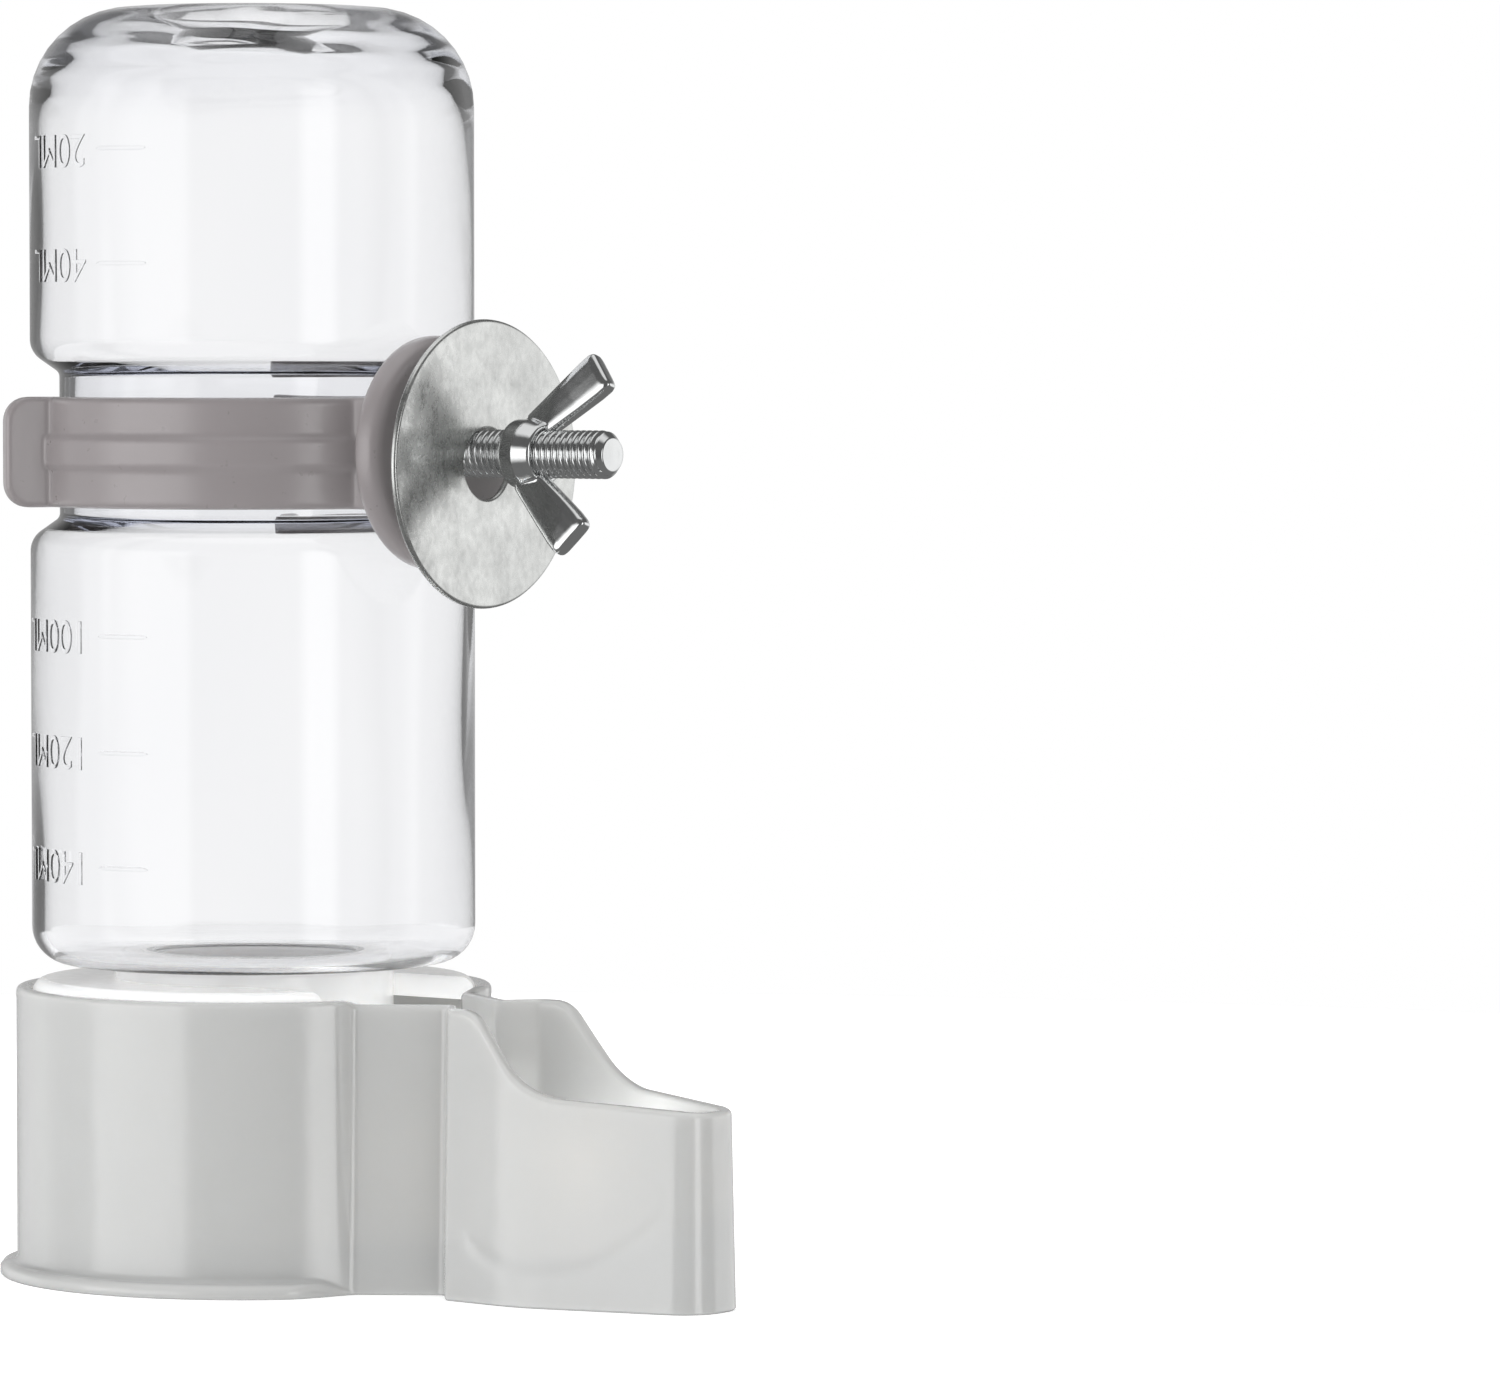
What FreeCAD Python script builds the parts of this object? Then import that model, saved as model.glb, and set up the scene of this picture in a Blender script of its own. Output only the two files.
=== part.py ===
import FreeCAD, Part
import math
import os
import Sketcher

# Hanging and free-standing vacuum waterer for poultry chicks and small birds.
# +Z is up and +X runs along the drinking trough. The origin is the point of the
# ground plane under the axis of the bottle. Lengths are in millimetres.

SIZES = [
    ("drum_radius", 25.2, "outside of the round reservoir under the bottle"),
    ("drum_height", 30.6, "rim of the reservoir above the ground"),
    ("wall", 1.6, "moulded wall of the fount base and the deck"),
    ("flange_width", 1.8, "how far the foot flange stands out from the drum"),
    ("flange_thickness", 1.5, "height of the foot flange"),
    ("flange_edge", 0.9, "height of the flange's upright edge"),
    ("flange_bevel", 0.45, "width of the bevel above that edge"),
    ("floor_height", 5.0, "wetted floor above the ground"),
    ("rim_step", 0.5, "drop from the drum rim to the top of the trough walls"),
    ("root_reach", 9.0, "where the trough's plan starts inside the drum, along X"),
    ("junction_reach", 22.8, "where the trough walls leave the drum, along X"),
    ("junction_half", 10.8, "half width of the trough walls there"),
    ("throat_reach", 30.4, "narrowest place between drum and trough, along X"),
    ("throat_half", 5.5, "half width outside at the throat"),
    ("flare_reach", 33.3, "where the trough has opened out again"),
    ("flare_half", 8.9, "half width outside there"),
    ("belly_reach", 43.0, "widest place of the trough, along X"),
    ("belly_half", 9.5, "half width outside at the belly"),
    ("tip_reach", 62.6, "outer end of the trough, along X"),
    ("tip_half", 4.1, "half width outside at the blunt tip"),
    ("tip_round", 4.6, "corner radius in plan at the tip"),
    ("tip_ease", 0.65, "how much tighter the inner tip corners are than an even wall"),
    ("belly_round", 18.4, "rounding in plan at the belly"),
    ("flare_round", 1.2, "rounding in plan where the trough has opened out"),
    ("throat_round", 0.8, "rounding in plan at the throat"),
    ("wall_draft", 1.2, "draft angle of the trough walls, degrees"),
    ("lip_start", 36.6, "where the side walls begin to drop, along X"),
    ("lip_end", 43.4, "where the drop ends, along X"),
    ("lip_height", 21.7, "side wall above the ground at the end of the drop"),
    ("lip_fall", 1.2, "further fall of the lip from there to the tip"),
    ("shoulder_round", 3.6, "rounding at the top of the drop"),
    ("dip_round", 9.0, "rounding at the foot of the drop"),
    ("scoop_start", 50.0, "where the trough floor begins to rise, along X"),
    ("scoop_rise", 4.5, "rise of the floor from there to the tip"),
    ("scoop_round", 13.8, "rounding where the floor begins to rise"),
    ("ledge_width", 1.2, "ledge inside the drum that carries the deck"),
    ("deck_thickness", 2.4, "white deck that closes the drum"),
    ("deck_sink", 1.6, "how deep the deck sits below the rim"),
    ("deck_gap", 0.15, "radial gap between the deck and the drum"),
    ("deck_round", 1.4, "rounding of the deck's upper edge"),
    ("mouth_start", 8.0, "where the deck is cut away for the trough, along X"),
    ("mouth_half", 12.4, "half width of that cut"),
    ("collar_radius", 14.8, "outside of the socket that takes the bottle neck"),
    ("collar_rise", 2.4, "top of the socket above the drum rim"),
    ("socket_depth", 11.0, "length of the socket"),
    ("socket_round", 0.8, "rounding of the socket's top"),
    ("neck_radius", 11.6, "outside of the bottle neck"),
    ("neck_length", 20.0, "neck below the shoulder: it sets the water level"),
    ("neck_gap", 0.15, "radial gap between the neck and its socket"),
    ("bottle_radius", 23.5, "outside of the bottle"),
    ("bottle_length", 101.0, "shoulder of the bottle to its closed end"),
    ("bottle_wall", 0.8, "wall of the bottle"),
    ("shoulder_corner", 4.0, "corner radius at the shoulder"),
    ("end_corner", 10.5, "corner radius at the closed end"),
    ("dish_radius", 12.0, "dished middle of the closed end"),
    ("dish_floor", 6.6, "radius of the flat floor of the dish"),
    ("dish_corner", 3.1, "rounding at the edge of the dish"),
    ("dish_depth", 2.6, "depth of that dish"),
    ("waist_radius", 20.4, "bottom of the groove round the bottle"),
    ("waist_start", 47.2, "lower end of the groove floor above the shoulder"),
    ("waist_height", 15.3, "height of the groove floor"),
    ("waist_slope", 2.2, "height of each sloping side of the groove"),
    ("waist_corner", 2.6, "rounding where the groove meets the body"),
    ("groove_corner", 0.85, "rounding at the bottom of the groove"),
    ("clip_gap", 0.2, "radial gap between the clip and the groove"),
    ("clip_rise", 1.2, "clip above the lower end of the groove floor"),
    ("clip_height", 11.6, "height of the clip band"),
    ("clip_thickness", 2.0, "thickness of the clip band"),
    ("clip_reach", 124.5, "each arm's end from the bolt, degrees"),
    ("tab_length", 4.6, "how far the end tabs stand out of the band"),
    ("tab_thickness", 2.1, "thickness of the end tabs"),
    ("tab_round", 2.5, "corner radius of the end tabs"),
    ("tab_root", 0.5, "how deep the root of a tab lies in the band"),
    ("rib_height", 4.2, "height of the stiffening rib"),
    ("rib_crest", 2.8, "height of its flat crest"),
    ("rib_depth", 0.5, "how far the rib stands out of the band"),
    ("boss_radius", 12.2, "round clamp pad that carries the bolt"),
    ("boss_thickness", 3.0, "thickness of that pad"),
    ("boss_gap", 0.4, "gap between the back of the pad and the bottle"),
    ("boss_round", 1.5, "rounding of the pad's front edge"),
    ("bridge_half", 8.5, "half width of the web between pad and band"),
    ("bolt_radius", 2.5, "M5 bolt"),
    ("bolt_stand", 21.5, "how far the bolt stands out of the clamp pad"),
    ("bolt_chamfer", 0.7, "chamfer at the tip of the bolt"),
    ("head_radius", 4.6, "bolt head over its corners"),
    ("head_thickness", 3.2, "thickness of the bolt head"),
    ("head_gap", 0.6, "head behind the inner face of the band"),
    ("washer_radius", 15.0, "outside of the penny washer"),
    ("washer_hole", 3.7, "radius of its hole"),
    ("washer_thickness", 0.6, "thickness of the washer"),
    ("clamp_gap", 4.4, "gap between clamp pad and washer"),
    ("hang_gap", 0.1, "gap over the bolt where the washer hangs"),
    ("nut_gap", 4.1, "gap between washer and wing nut"),
    ("nut_radius", 3.6, "wing nut hub at its seat"),
    ("nut_nose", 3.1, "wing nut hub at its nose"),
    ("nut_length", 3.8, "length of the hub"),
    ("hub_shoulder", 2.1, "where the hub starts to taper, from its seat"),
    ("thread_gap", 0.08, "radial gap between nut and bolt"),
    ("wing_reach", 9.1, "middle of a wing's tip from the bolt's axis"),
    ("wing_height", 9.4, "middle of a wing's tip ahead of the nut's seat"),
    ("wing_width", 4.8, "width of a wing at its tip"),
    ("wing_root", 3.5, "width of a wing at the hub"),
    ("wing_thickness", 2.0, "thickness of a wing"),
    ("wing_round", 1.2, "corner radius of a wing's tip"),
    ("nut_turn", 16.6, "angle of the wings from upright, degrees"),
]

NEAR = 0.02  # how near an edge lies to where its size says, in millimetres
LEAST = 1e-6  # least change of volume that counts, in cubic millimetres

# Places past every face of the model, which cuts run out to.
BEYOND = "tip_reach + drum_radius"
BEHIND = "-tip_reach - drum_radius"
ABOVE = "drum_height + drum_radius"

# Heights and places along the bolt that several pieces share.
BOTTLE_SEAT = "drum_height + collar_rise"
CLIP_LEVEL = f"{BOTTLE_SEAT} + waist_start + clip_rise + clip_height / 2"
CLIP_INNER = "waist_radius + clip_gap"
CLIP_OUTER = f"{CLIP_INNER} + clip_thickness"
PAD_BACK = "bottle_radius + boss_gap"
PAD_FRONT = f"{PAD_BACK} + boss_thickness"
HEAD_BACK = f"{CLIP_INNER} + head_gap"
WASHER_BACK = f"{PAD_FRONT} + clamp_gap"
NUT_SEAT = f"{WASHER_BACK} + washer_thickness + nut_gap"

doc = FreeCAD.newDocument("PoultryWaterer")
sheet = doc.addObject("Spreadsheet::Sheet", "Sizes")
for row, (alias, value, meaning) in enumerate(SIZES, start=1):
    sheet.set(f"A{row}", meaning)
    sheet.set(f"B{row}", str(value))
    sheet.setAlias(f"B{row}", alias)
doc.recompute()

ALIASES = sorted((alias for alias, value, meaning in SIZES), key=len, reverse=True)


def cells(text):
    """An expression written with plain aliases, as one that names the sheet's cells."""
    words = []
    word = ""
    for letter in text + " ":
        if letter.isalnum() or letter in "_.":
            word += letter
            continue
        words.append(f"Sizes.{word}" if word in ALIASES else word)
        words.append(letter)
        word = ""
    return "".join(words).strip()


def size(text):
    """The present value of an expression of sizes."""
    value = sheet.evalExpression(cells(text))
    return float(getattr(value, "Value", value))


def bind(thing, **sizes):
    """Binds properties of an object to expressions of sizes."""
    for name, text in sizes.items():
        thing.setExpression(name.replace("__", "."), cells(text))


def new_body(label, x="0", z="0"):
    """A body named label, placed at x and z."""
    body = doc.addObject("PartDesign::Body", label)
    body.Label = label
    bind(body, Placement__Base__x=x, Placement__Base__z=z)
    return body


def new_sketch(body, name, role, rise="0"):
    """An empty sketch on one of the body's own origin planes, moved out along its normal."""
    plane = [item for item in body.Origin.OriginFeatures if item.Role == role][0]
    sketch = body.newObject("Sketcher::SketchObject", name)
    sketch.AttachmentSupport = (plane, "")
    sketch.MapMode = "FlatFace"
    bind(sketch, AttachmentOffset__Base__z=rise)
    return sketch


def pin(sketch, index, spot, place):
    """Ties one point of a sketch to two expressions of sizes."""
    for kind, text in zip(("DistanceX", "DistanceY"), place):
        made = sketch.addConstraint(Sketcher.Constraint(kind, -1, 1, index, spot, size(text)))
        sketch.setExpression(f"Constraints[{made}]", cells(text))


def polygon(body, name, role, places, rise="0"):
    """A closed outline of straight edges through places, which are pairs of expressions."""
    sketch = new_sketch(body, name, role, rise)
    corners = [FreeCAD.Vector(size(x), size(y), 0) for x, y in places]
    for start, end in zip(corners, corners[1:] + corners[:1]):
        sketch.addGeometry(Part.LineSegment(start, end), False)
    for index in range(len(places)):
        after = (index + 1) % len(places)
        sketch.addConstraint(Sketcher.Constraint("Coincident", index, 2, after, 1))
    for index, place in enumerate(places):
        pin(sketch, index, 1, place)
    return sketch


def circles(body, name, role, radii, rise="0"):
    """Circles about the sketch's origin, one for each expression in radii."""
    sketch = new_sketch(body, name, role, rise)
    for index, text in enumerate(radii):
        middle = FreeCAD.Vector(0, 0, 0)
        circle = Part.Circle(middle, FreeCAD.Vector(0, 0, 1), size(text))
        sketch.addGeometry(circle, False)
        sketch.addConstraint(Sketcher.Constraint("Coincident", index, 3, -1, 1))
        made = sketch.addConstraint(Sketcher.Constraint("Radius", index, size(text)))
        sketch.setExpression(f"Constraints[{made}]", cells(text))
    return sketch


def grow(body, kind, sketch, settings, **sizes):
    """Adds a feature with sketch as its profile, and checks how it changed the volume."""
    before = body.Tip.Shape.Volume if body.Tip else 0.0
    feature = body.newObject(f"PartDesign::{kind}", f"{sketch.Name}_{kind.lower()}")
    feature.Profile = sketch
    for name, value in settings.items():
        setattr(feature, name, value)
    bind(feature, **sizes)
    sketch.Visibility = False
    doc.recompute()
    change = feature.Shape.Volume - before
    if kind == "Pocket":
        change = -change
    if change < LEAST:
        raise RuntimeError(f"{feature.Name} changed nothing")
    return feature


def pad(body, sketch, length, both_ways=False, taper="0"):
    """A pad along the sketch's normal, or half of it each way."""
    return grow(body, "Pad", sketch, {"Midplane": both_ways}, Length=length, TaperAngle=taper)


def pocket(body, sketch, length, both_ways=False, reverse=False):
    """A pocket that is length deep, against the sketch's normal unless reversed."""
    settings = {"Midplane": both_ways, "Reversed": reverse}
    return grow(body, "Pocket", sketch, settings, Length=length)


def revolve(body, sketch, axis, angle="360", both_ways=False):
    """A solid turned about the sketch's H_Axis or V_Axis."""
    settings = {"ReferenceAxis": (sketch, [axis]), "Midplane": both_ways}
    return grow(body, "Revolution", sketch, settings, Angle=angle)


def edges_where(shape, test):
    """Names of the edges whose middle point and edge pass a test."""
    names = []
    for number, edge in enumerate(shape.Edges, start=1):
        middle = edge.valueAt((edge.FirstParameter + edge.LastParameter) / 2)
        if test(middle, edge):
            names.append(f"Edge{number}")
    return names


def round_edges(body, name, radius, test, kind="PartDesign::Fillet"):
    """Rounds or chamfers the edges of the body's last feature that pass a test."""
    last = body.Tip
    names = edges_where(last.Shape, test)
    if not names:
        raise RuntimeError(f"{name} found no edge")
    feature = body.newObject(kind, name)
    feature.Base = (last, names)
    if kind.endswith("Fillet"):
        bind(feature, Radius=radius)
    else:
        bind(feature, Size=radius)
    doc.recompute()
    if feature.Shape.isNull() or "Invalid" in feature.State:
        raise RuntimeError(f"{name} failed on {names}")
    return feature


def upright_at(place):
    """A test for the edges that stand at a place in plan, and at its mirror image."""
    x, y = (size(text) for text in place)

    def test(middle, edge):
        low, top = sorted((vertex.Point for vertex in edge.Vertexes), key=lambda point: point.z)
        upright = top.z - low.z > size("wall") / 2
        return upright and math.hypot(low.x - x, abs(low.y) - y) < size("wall") / 3

    return test


def trough_places(inset):
    """Plan outline of the trough, with its walls moved in by inset."""
    half = [
        ("root_reach", "junction_half"),
        ("junction_reach", "junction_half"),
        ("throat_reach", "throat_half"),
        ("flare_reach", "flare_half"),
        ("belly_reach", "belly_half"),
        (f"tip_reach - {inset}", "tip_half"),
    ]
    near = [(x, f"{y} - {inset}") for x, y in half]
    far = [(x, f"{inset} - {y}") for x, y in reversed(half)]
    return near + far


def round_trough(body, name, inset, tip_radius):
    """Rounds the upright edges of a trough pad whose walls are moved in by inset."""
    places = dict(trough_places(inset)[:6])
    tip = f"tip_reach - {inset}"
    for word, reach, radius in (
        ("tip", tip, tip_radius),
        ("belly", "belly_reach", "belly_round"),
        ("flare", "flare_reach", "flare_round"),
        ("throat", "throat_reach", "throat_round"),
    ):
        round_edges(body, f"{name}_{word}", radius, upright_at((reach, places[reach])))


def side_cut(body, name, places, deep="drum_radius * 4"):
    """Cuts a side outline right through the body, half each way from its middle plane."""
    sketch = polygon(body, name, "XZ_Plane", places)
    return pocket(body, sketch, deep, both_ways=True)


def make_base_outside():
    """The fount base as one solid block: drum, foot flange and trough."""
    body = new_body("base_outside")
    outline = polygon(body, "trough_plan", "XY_Plane", trough_places("0"))
    pad(body, outline, "drum_height - rim_step", taper="-wall_draft")
    round_trough(body, "outer", "0", "tip_round")
    side_cut(body, "lip_side", [
        ("lip_start", "drum_height - rim_step"),
        ("lip_end", "lip_height"),
        ("tip_reach", "lip_height - lip_fall"),
        (BEYOND, "lip_height - lip_fall"),
        (BEYOND, ABOVE),
        ("lip_start", ABOVE),
    ])
    top = size("drum_height - rim_step")
    lip = size("lip_height")
    start = size("lip_start")
    end = size("lip_end")
    round_edges(body, "shoulder_rounding", "shoulder_round",
                lambda middle, edge: math.hypot(middle.x - start, middle.z - top) < NEAR)
    round_edges(body, "dip_rounding", "dip_round",
                lambda middle, edge: math.hypot(middle.x - end, middle.z - lip) < NEAR)
    drum = circles(body, "drum_plan", "XY_Plane", ["drum_radius"])
    pad(body, drum, "drum_height")
    flange = polygon(body, "flange_section", "XZ_Plane", [
        ("wall - drum_radius", "0"),
        ("-drum_radius - flange_width", "0"),
        ("-drum_radius - flange_width", "flange_edge"),
        ("flange_bevel - drum_radius - flange_width", "flange_thickness"),
        ("wall - drum_radius", "flange_thickness"),
    ])
    revolve(body, flange, "V_Axis", both_ways=True,
            angle="360 deg - 2 * atan(junction_half / junction_reach)")
    return body


def make_water_core():
    """The wet hollow of the fount base: drum chamber, throat and scooped trough."""
    body = new_body("water_core")
    inner = polygon(body, "water_plan", "XY_Plane", trough_places("wall"))
    pad(body, inner, "drum_height + wall", taper="-wall_draft")
    round_trough(body, "inner", "wall", "tip_round - wall - tip_ease")
    chamber = circles(body, "chamber_plan", "XY_Plane", ["drum_radius - wall - ledge_width"])
    pad(body, chamber, ABOVE)
    seat = circles(body, "deck_seat_plan", "XY_Plane", ["drum_radius - wall"],
                   rise="drum_height - deck_sink")
    pad(body, seat, ABOVE)
    side_cut(body, "floor_side", [
        (BEHIND, "-drum_radius"),
        (BEHIND, "floor_height"),
        ("scoop_start", "floor_height"),
        ("tip_reach", "floor_height + scoop_rise"),
        (BEYOND, "floor_height + scoop_rise"),
        (BEYOND, "-drum_radius"),
    ])
    floor = size("floor_height")
    start = size("scoop_start")
    round_edges(body, "scoop_rounding", "scoop_round",
                lambda middle, edge: math.hypot(middle.x - start, middle.z - floor) < NEAR)
    return body


def make_skirt_core():
    """The dry hollow under the floor of the fount base."""
    body = new_body("skirt_core")
    inner = polygon(body, "skirt_plan", "XY_Plane", trough_places("wall"))
    pad(body, inner, "floor_height + scoop_rise")
    round_trough(body, "skirt", "wall", "tip_round - wall - tip_ease")
    chamber = circles(body, "skirt_round_plan", "XY_Plane", ["drum_radius - wall"])
    pad(body, chamber, "floor_height - wall")
    side_cut(body, "skirt_side", [
        (BEHIND, "floor_height - wall"),
        ("scoop_start", "floor_height - wall"),
        ("tip_reach", "floor_height - wall + scoop_rise"),
        (BEYOND, "floor_height - wall + scoop_rise"),
        (BEYOND, ABOVE),
        (BEHIND, ABOVE),
    ])
    return body


def make_fount_base():
    """The fount base: the block less its wet hollow and the hollow under its floor."""
    outside = make_base_outside()
    wet = doc.addObject("Part::Cut", "wet_cut")
    wet.Base = outside
    wet.Tool = make_water_core()
    base = doc.addObject("Part::Cut", "fount_base")
    base.Base = wet
    base.Tool = make_skirt_core()
    base.Label = "fount_base"
    doc.recompute()
    return base


def make_neck_collar():
    """The white deck that closes the drum, with the socket for the bottle neck."""
    body = new_body("neck_collar", z="drum_height - deck_sink")
    deck = circles(body, "deck_plan", "XY_Plane", ["drum_radius - wall - deck_gap"])
    pad(body, deck, "deck_thickness")
    thickness = size("deck_thickness")
    round_edges(body, "deck_rounding", "deck_round",
                lambda middle, edge: abs(middle.z - thickness) < NEAR)
    cut = polygon(body, "mouth_plan", "XY_Plane", [
        ("mouth_start", "mouth_half"),
        ("mouth_start", "-mouth_half"),
        (BEYOND, "-mouth_half"),
        (BEYOND, "mouth_half"),
    ])
    pocket(body, cut, "deck_thickness", reverse=True)
    top = "deck_sink + collar_rise"
    socket = circles(body, "socket_plan", "XY_Plane", ["collar_radius"],
                     rise=f"{top} - socket_depth")
    pad(body, socket, "socket_depth")
    height = size(top)
    round_edges(body, "socket_rounding", "socket_round",
                lambda middle, edge: abs(middle.z - height) < NEAR)
    hole = circles(body, "neck_hole_plan", "XY_Plane", ["neck_radius + neck_gap"], rise=top)
    pocket(body, hole, "socket_depth + deck_thickness")
    return body


def bottle_places(inset, wall):
    """Half section of the bottle from its mouth up, moved in by inset."""
    waist_top = "waist_start + waist_height"
    return [
        (f"neck_radius - {inset}", "-neck_length"),
        (f"neck_radius - {inset}", wall),
        (f"bottle_radius - {inset}", wall),
        (f"bottle_radius - {inset}", "waist_start - waist_slope"),
        (f"waist_radius - {inset}", "waist_start"),
        (f"waist_radius - {inset}", waist_top),
        (f"bottle_radius - {inset}", f"{waist_top} + waist_slope"),
        (f"bottle_radius - {inset}", f"bottle_length - {wall}"),
        ("dish_radius", f"bottle_length - {wall}"),
        ("dish_floor", f"bottle_length - dish_depth - {wall}"),
        ("0", f"bottle_length - dish_depth - {wall}"),
    ]


def ring_at(radius, height):
    """A test for a round edge of one radius and height about the body's axis."""
    wanted = size(radius)
    level = size(height)

    def test(middle, edge):
        near = abs(middle.z - level) < NEAR
        return near and abs(math.hypot(middle.x, middle.y) - wanted) < NEAR

    return test


def round_bottle(body, name, inset, wall):
    """Rounds the corners of the bottle's section, its outside or its inside."""
    radius = f"bottle_radius - {inset}"
    end = ring_at(radius, f"bottle_length - {wall}")
    round_edges(body, f"{name}_end", f"end_corner - {inset}", end)
    shoulder = ring_at(radius, wall)
    round_edges(body, f"{name}_shoulder", f"shoulder_corner - {inset}", shoulder)
    lower = ring_at(radius, "waist_start - waist_slope")
    upper = ring_at(radius, "waist_start + waist_height + waist_slope")
    round_edges(body, f"{name}_waist", "waist_corner",
                lambda middle, edge: lower(middle, edge) or upper(middle, edge))
    floor_low = ring_at(f"waist_radius - {inset}", "waist_start")
    floor_high = ring_at(f"waist_radius - {inset}", "waist_start + waist_height")
    round_edges(body, f"{name}_groove", "groove_corner",
                lambda middle, edge: floor_low(middle, edge) or floor_high(middle, edge))
    dish = ring_at("dish_radius", f"bottle_length - {wall}")
    round_edges(body, f"{name}_dish", "dish_corner", dish)


def make_bottle():
    """The clear bottle, mouth down, with a groove for the clip and a dished end."""
    outside = new_body("bottle_outside", z=BOTTLE_SEAT)
    places = bottle_places("0", "0")
    section = polygon(outside, "bottle_section", "XZ_Plane", [("0", "-neck_length")] + places)
    revolve(outside, section, "V_Axis")
    round_bottle(outside, "outside", "0", "0")
    inside = new_body("bottle_inside", z=BOTTLE_SEAT)
    places = bottle_places("bottle_wall", "bottle_wall")
    below = [("0", "-neck_length * 1.5"), ("neck_radius - bottle_wall", "-neck_length * 1.5")]
    hollow = polygon(inside, "hollow_section", "XZ_Plane", below + places[1:])
    revolve(inside, hollow, "V_Axis")
    round_bottle(inside, "inside", "bottle_wall", "bottle_wall")
    bottle = doc.addObject("Part::Cut", "bottle")
    bottle.Base = outside
    bottle.Tool = inside
    bottle.Label = "bottle"
    doc.recompute()
    return bottle


def tab_places(side):
    """Plan of the tab at the end of one arm: side is 1 or -1."""
    along = ("cos(clip_reach)", "sin(clip_reach)")
    near = f"{CLIP_INNER} + tab_root"
    far = f"{CLIP_OUTER} + tab_length"
    places = []
    for reach, back in ((near, "0"), (far, "0"), (far, "1"), (near, "1")):
        x = f"({reach}) * {along[0]} + {back} * tab_thickness * {along[1]}"
        y = f"{side} * (({reach}) * {along[1]} - {back} * tab_thickness * {along[0]})"
        places.append((x, y))
    return places


def make_mounting_clip():
    """The spring clip that grips the bottle's groove, with its clamp pad."""
    body = new_body("mounting_clip", z=CLIP_LEVEL)
    band = circles(body, "band_plan", "XY_Plane", [CLIP_OUTER])
    pad(body, band, "clip_height", both_ways=True)
    rib = polygon(body, "rib_section", "XZ_Plane", [
        ("waist_radius", "-rib_height / 2"),
        (CLIP_OUTER, "-rib_height / 2"),
        (f"{CLIP_OUTER} + rib_depth", "-rib_crest / 2"),
        (f"{CLIP_OUTER} + rib_depth", "rib_crest / 2"),
        (CLIP_OUTER, "rib_height / 2"),
        ("waist_radius", "rib_height / 2"),
    ])
    revolve(body, rib, "V_Axis")
    web = polygon(body, "web_plan", "XY_Plane", [
        ("waist_radius / 2", "bridge_half"),
        (f"{PAD_BACK} + boss_thickness / 2", "bridge_half"),
        (f"{PAD_BACK} + boss_thickness / 2", "-bridge_half"),
        ("waist_radius / 2", "-bridge_half"),
    ])
    pad(body, web, "clip_height", both_ways=True)
    boss = circles(body, "pad_plan", "YZ_Plane", ["boss_radius"], rise=PAD_BACK)
    pad(body, boss, "boss_thickness")
    front = size(PAD_FRONT)
    round_edges(body, "pad_rounding", "boss_round",
                lambda middle, edge: abs(middle.x - front) < NEAR)
    bore = circles(body, "grip_plan", "XY_Plane", [CLIP_INNER])
    pocket(body, bore, "boss_radius * 4", both_ways=True)
    opening = polygon(body, "opening_plan", "XY_Plane", [
        ("0", "0"),
        ("-2 * waist_radius", "2 * waist_radius * tan(180 - clip_reach)"),
        ("-2 * waist_radius", "-2 * waist_radius * tan(180 - clip_reach)"),
    ])
    pocket(body, opening, "boss_radius * 4", both_ways=True)
    for side, word in ((1, "left"), (-1, "right")):
        tab = polygon(body, f"{word}_tab_plan", "XY_Plane", tab_places(side))
        pad(body, tab, "clip_height", both_ways=True)
    half = size("clip_height / 2")
    far = size(f"{CLIP_OUTER} + tab_length")
    round_edges(body, "tab_rounding", "tab_round",
                lambda middle, edge: abs(abs(middle.z) - half) < NEAR
                and math.hypot(middle.x, middle.y) > far - NEAR
                and middle.x < 0)
    recess = new_hexagon(body, "head_recess", "head_radius + hang_gap", "waist_radius / 2")
    pocket(body, recess, f"{HEAD_BACK} + head_thickness - waist_radius / 2", reverse=True)
    shank = circles(body, "shank_hole", "YZ_Plane", ["bolt_radius + hang_gap"], rise=CLIP_INNER)
    pocket(body, shank, "boss_radius * 2", reverse=True)
    return body


def new_hexagon(body, name, radius, rise):
    """A hexagon about the bolt's axis with its corners at radius."""
    places = []
    for corner in range(6):
        turn = 60 * corner
        places.append((f"({radius}) * cos({turn})", f"({radius}) * sin({turn})"))
    return polygon(body, name, "YZ_Plane", places, rise=rise)


def make_clamp_bolt():
    """The bolt: its hexagon head is held in the clip, and its shank stands out."""
    length = f"{PAD_FRONT} + bolt_stand - ({HEAD_BACK})"
    body = new_body("clamp_bolt", x=HEAD_BACK, z=CLIP_LEVEL)
    head = new_hexagon(body, "head_plan", "head_radius", "0")
    pad(body, head, "head_thickness")
    shank = circles(body, "shank_plan", "YZ_Plane", ["bolt_radius"])
    pad(body, shank, length)
    tip = size(length)
    round_edges(body, "tip_chamfer", "bolt_chamfer",
                lambda middle, edge: abs(middle.x - tip) < NEAR,
                kind="PartDesign::Chamfer")
    return body


def make_clamp_washer():
    """The wide washer, which hangs loose on the bolt."""
    drop = "washer_hole - bolt_radius - hang_gap"
    body = new_body("clamp_washer", x=WASHER_BACK, z=f"{CLIP_LEVEL} - ({drop})")
    ring = circles(body, "washer_plan", "YZ_Plane", ["washer_radius", "washer_hole"])
    pad(body, ring, "washer_thickness")
    return body


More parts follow.
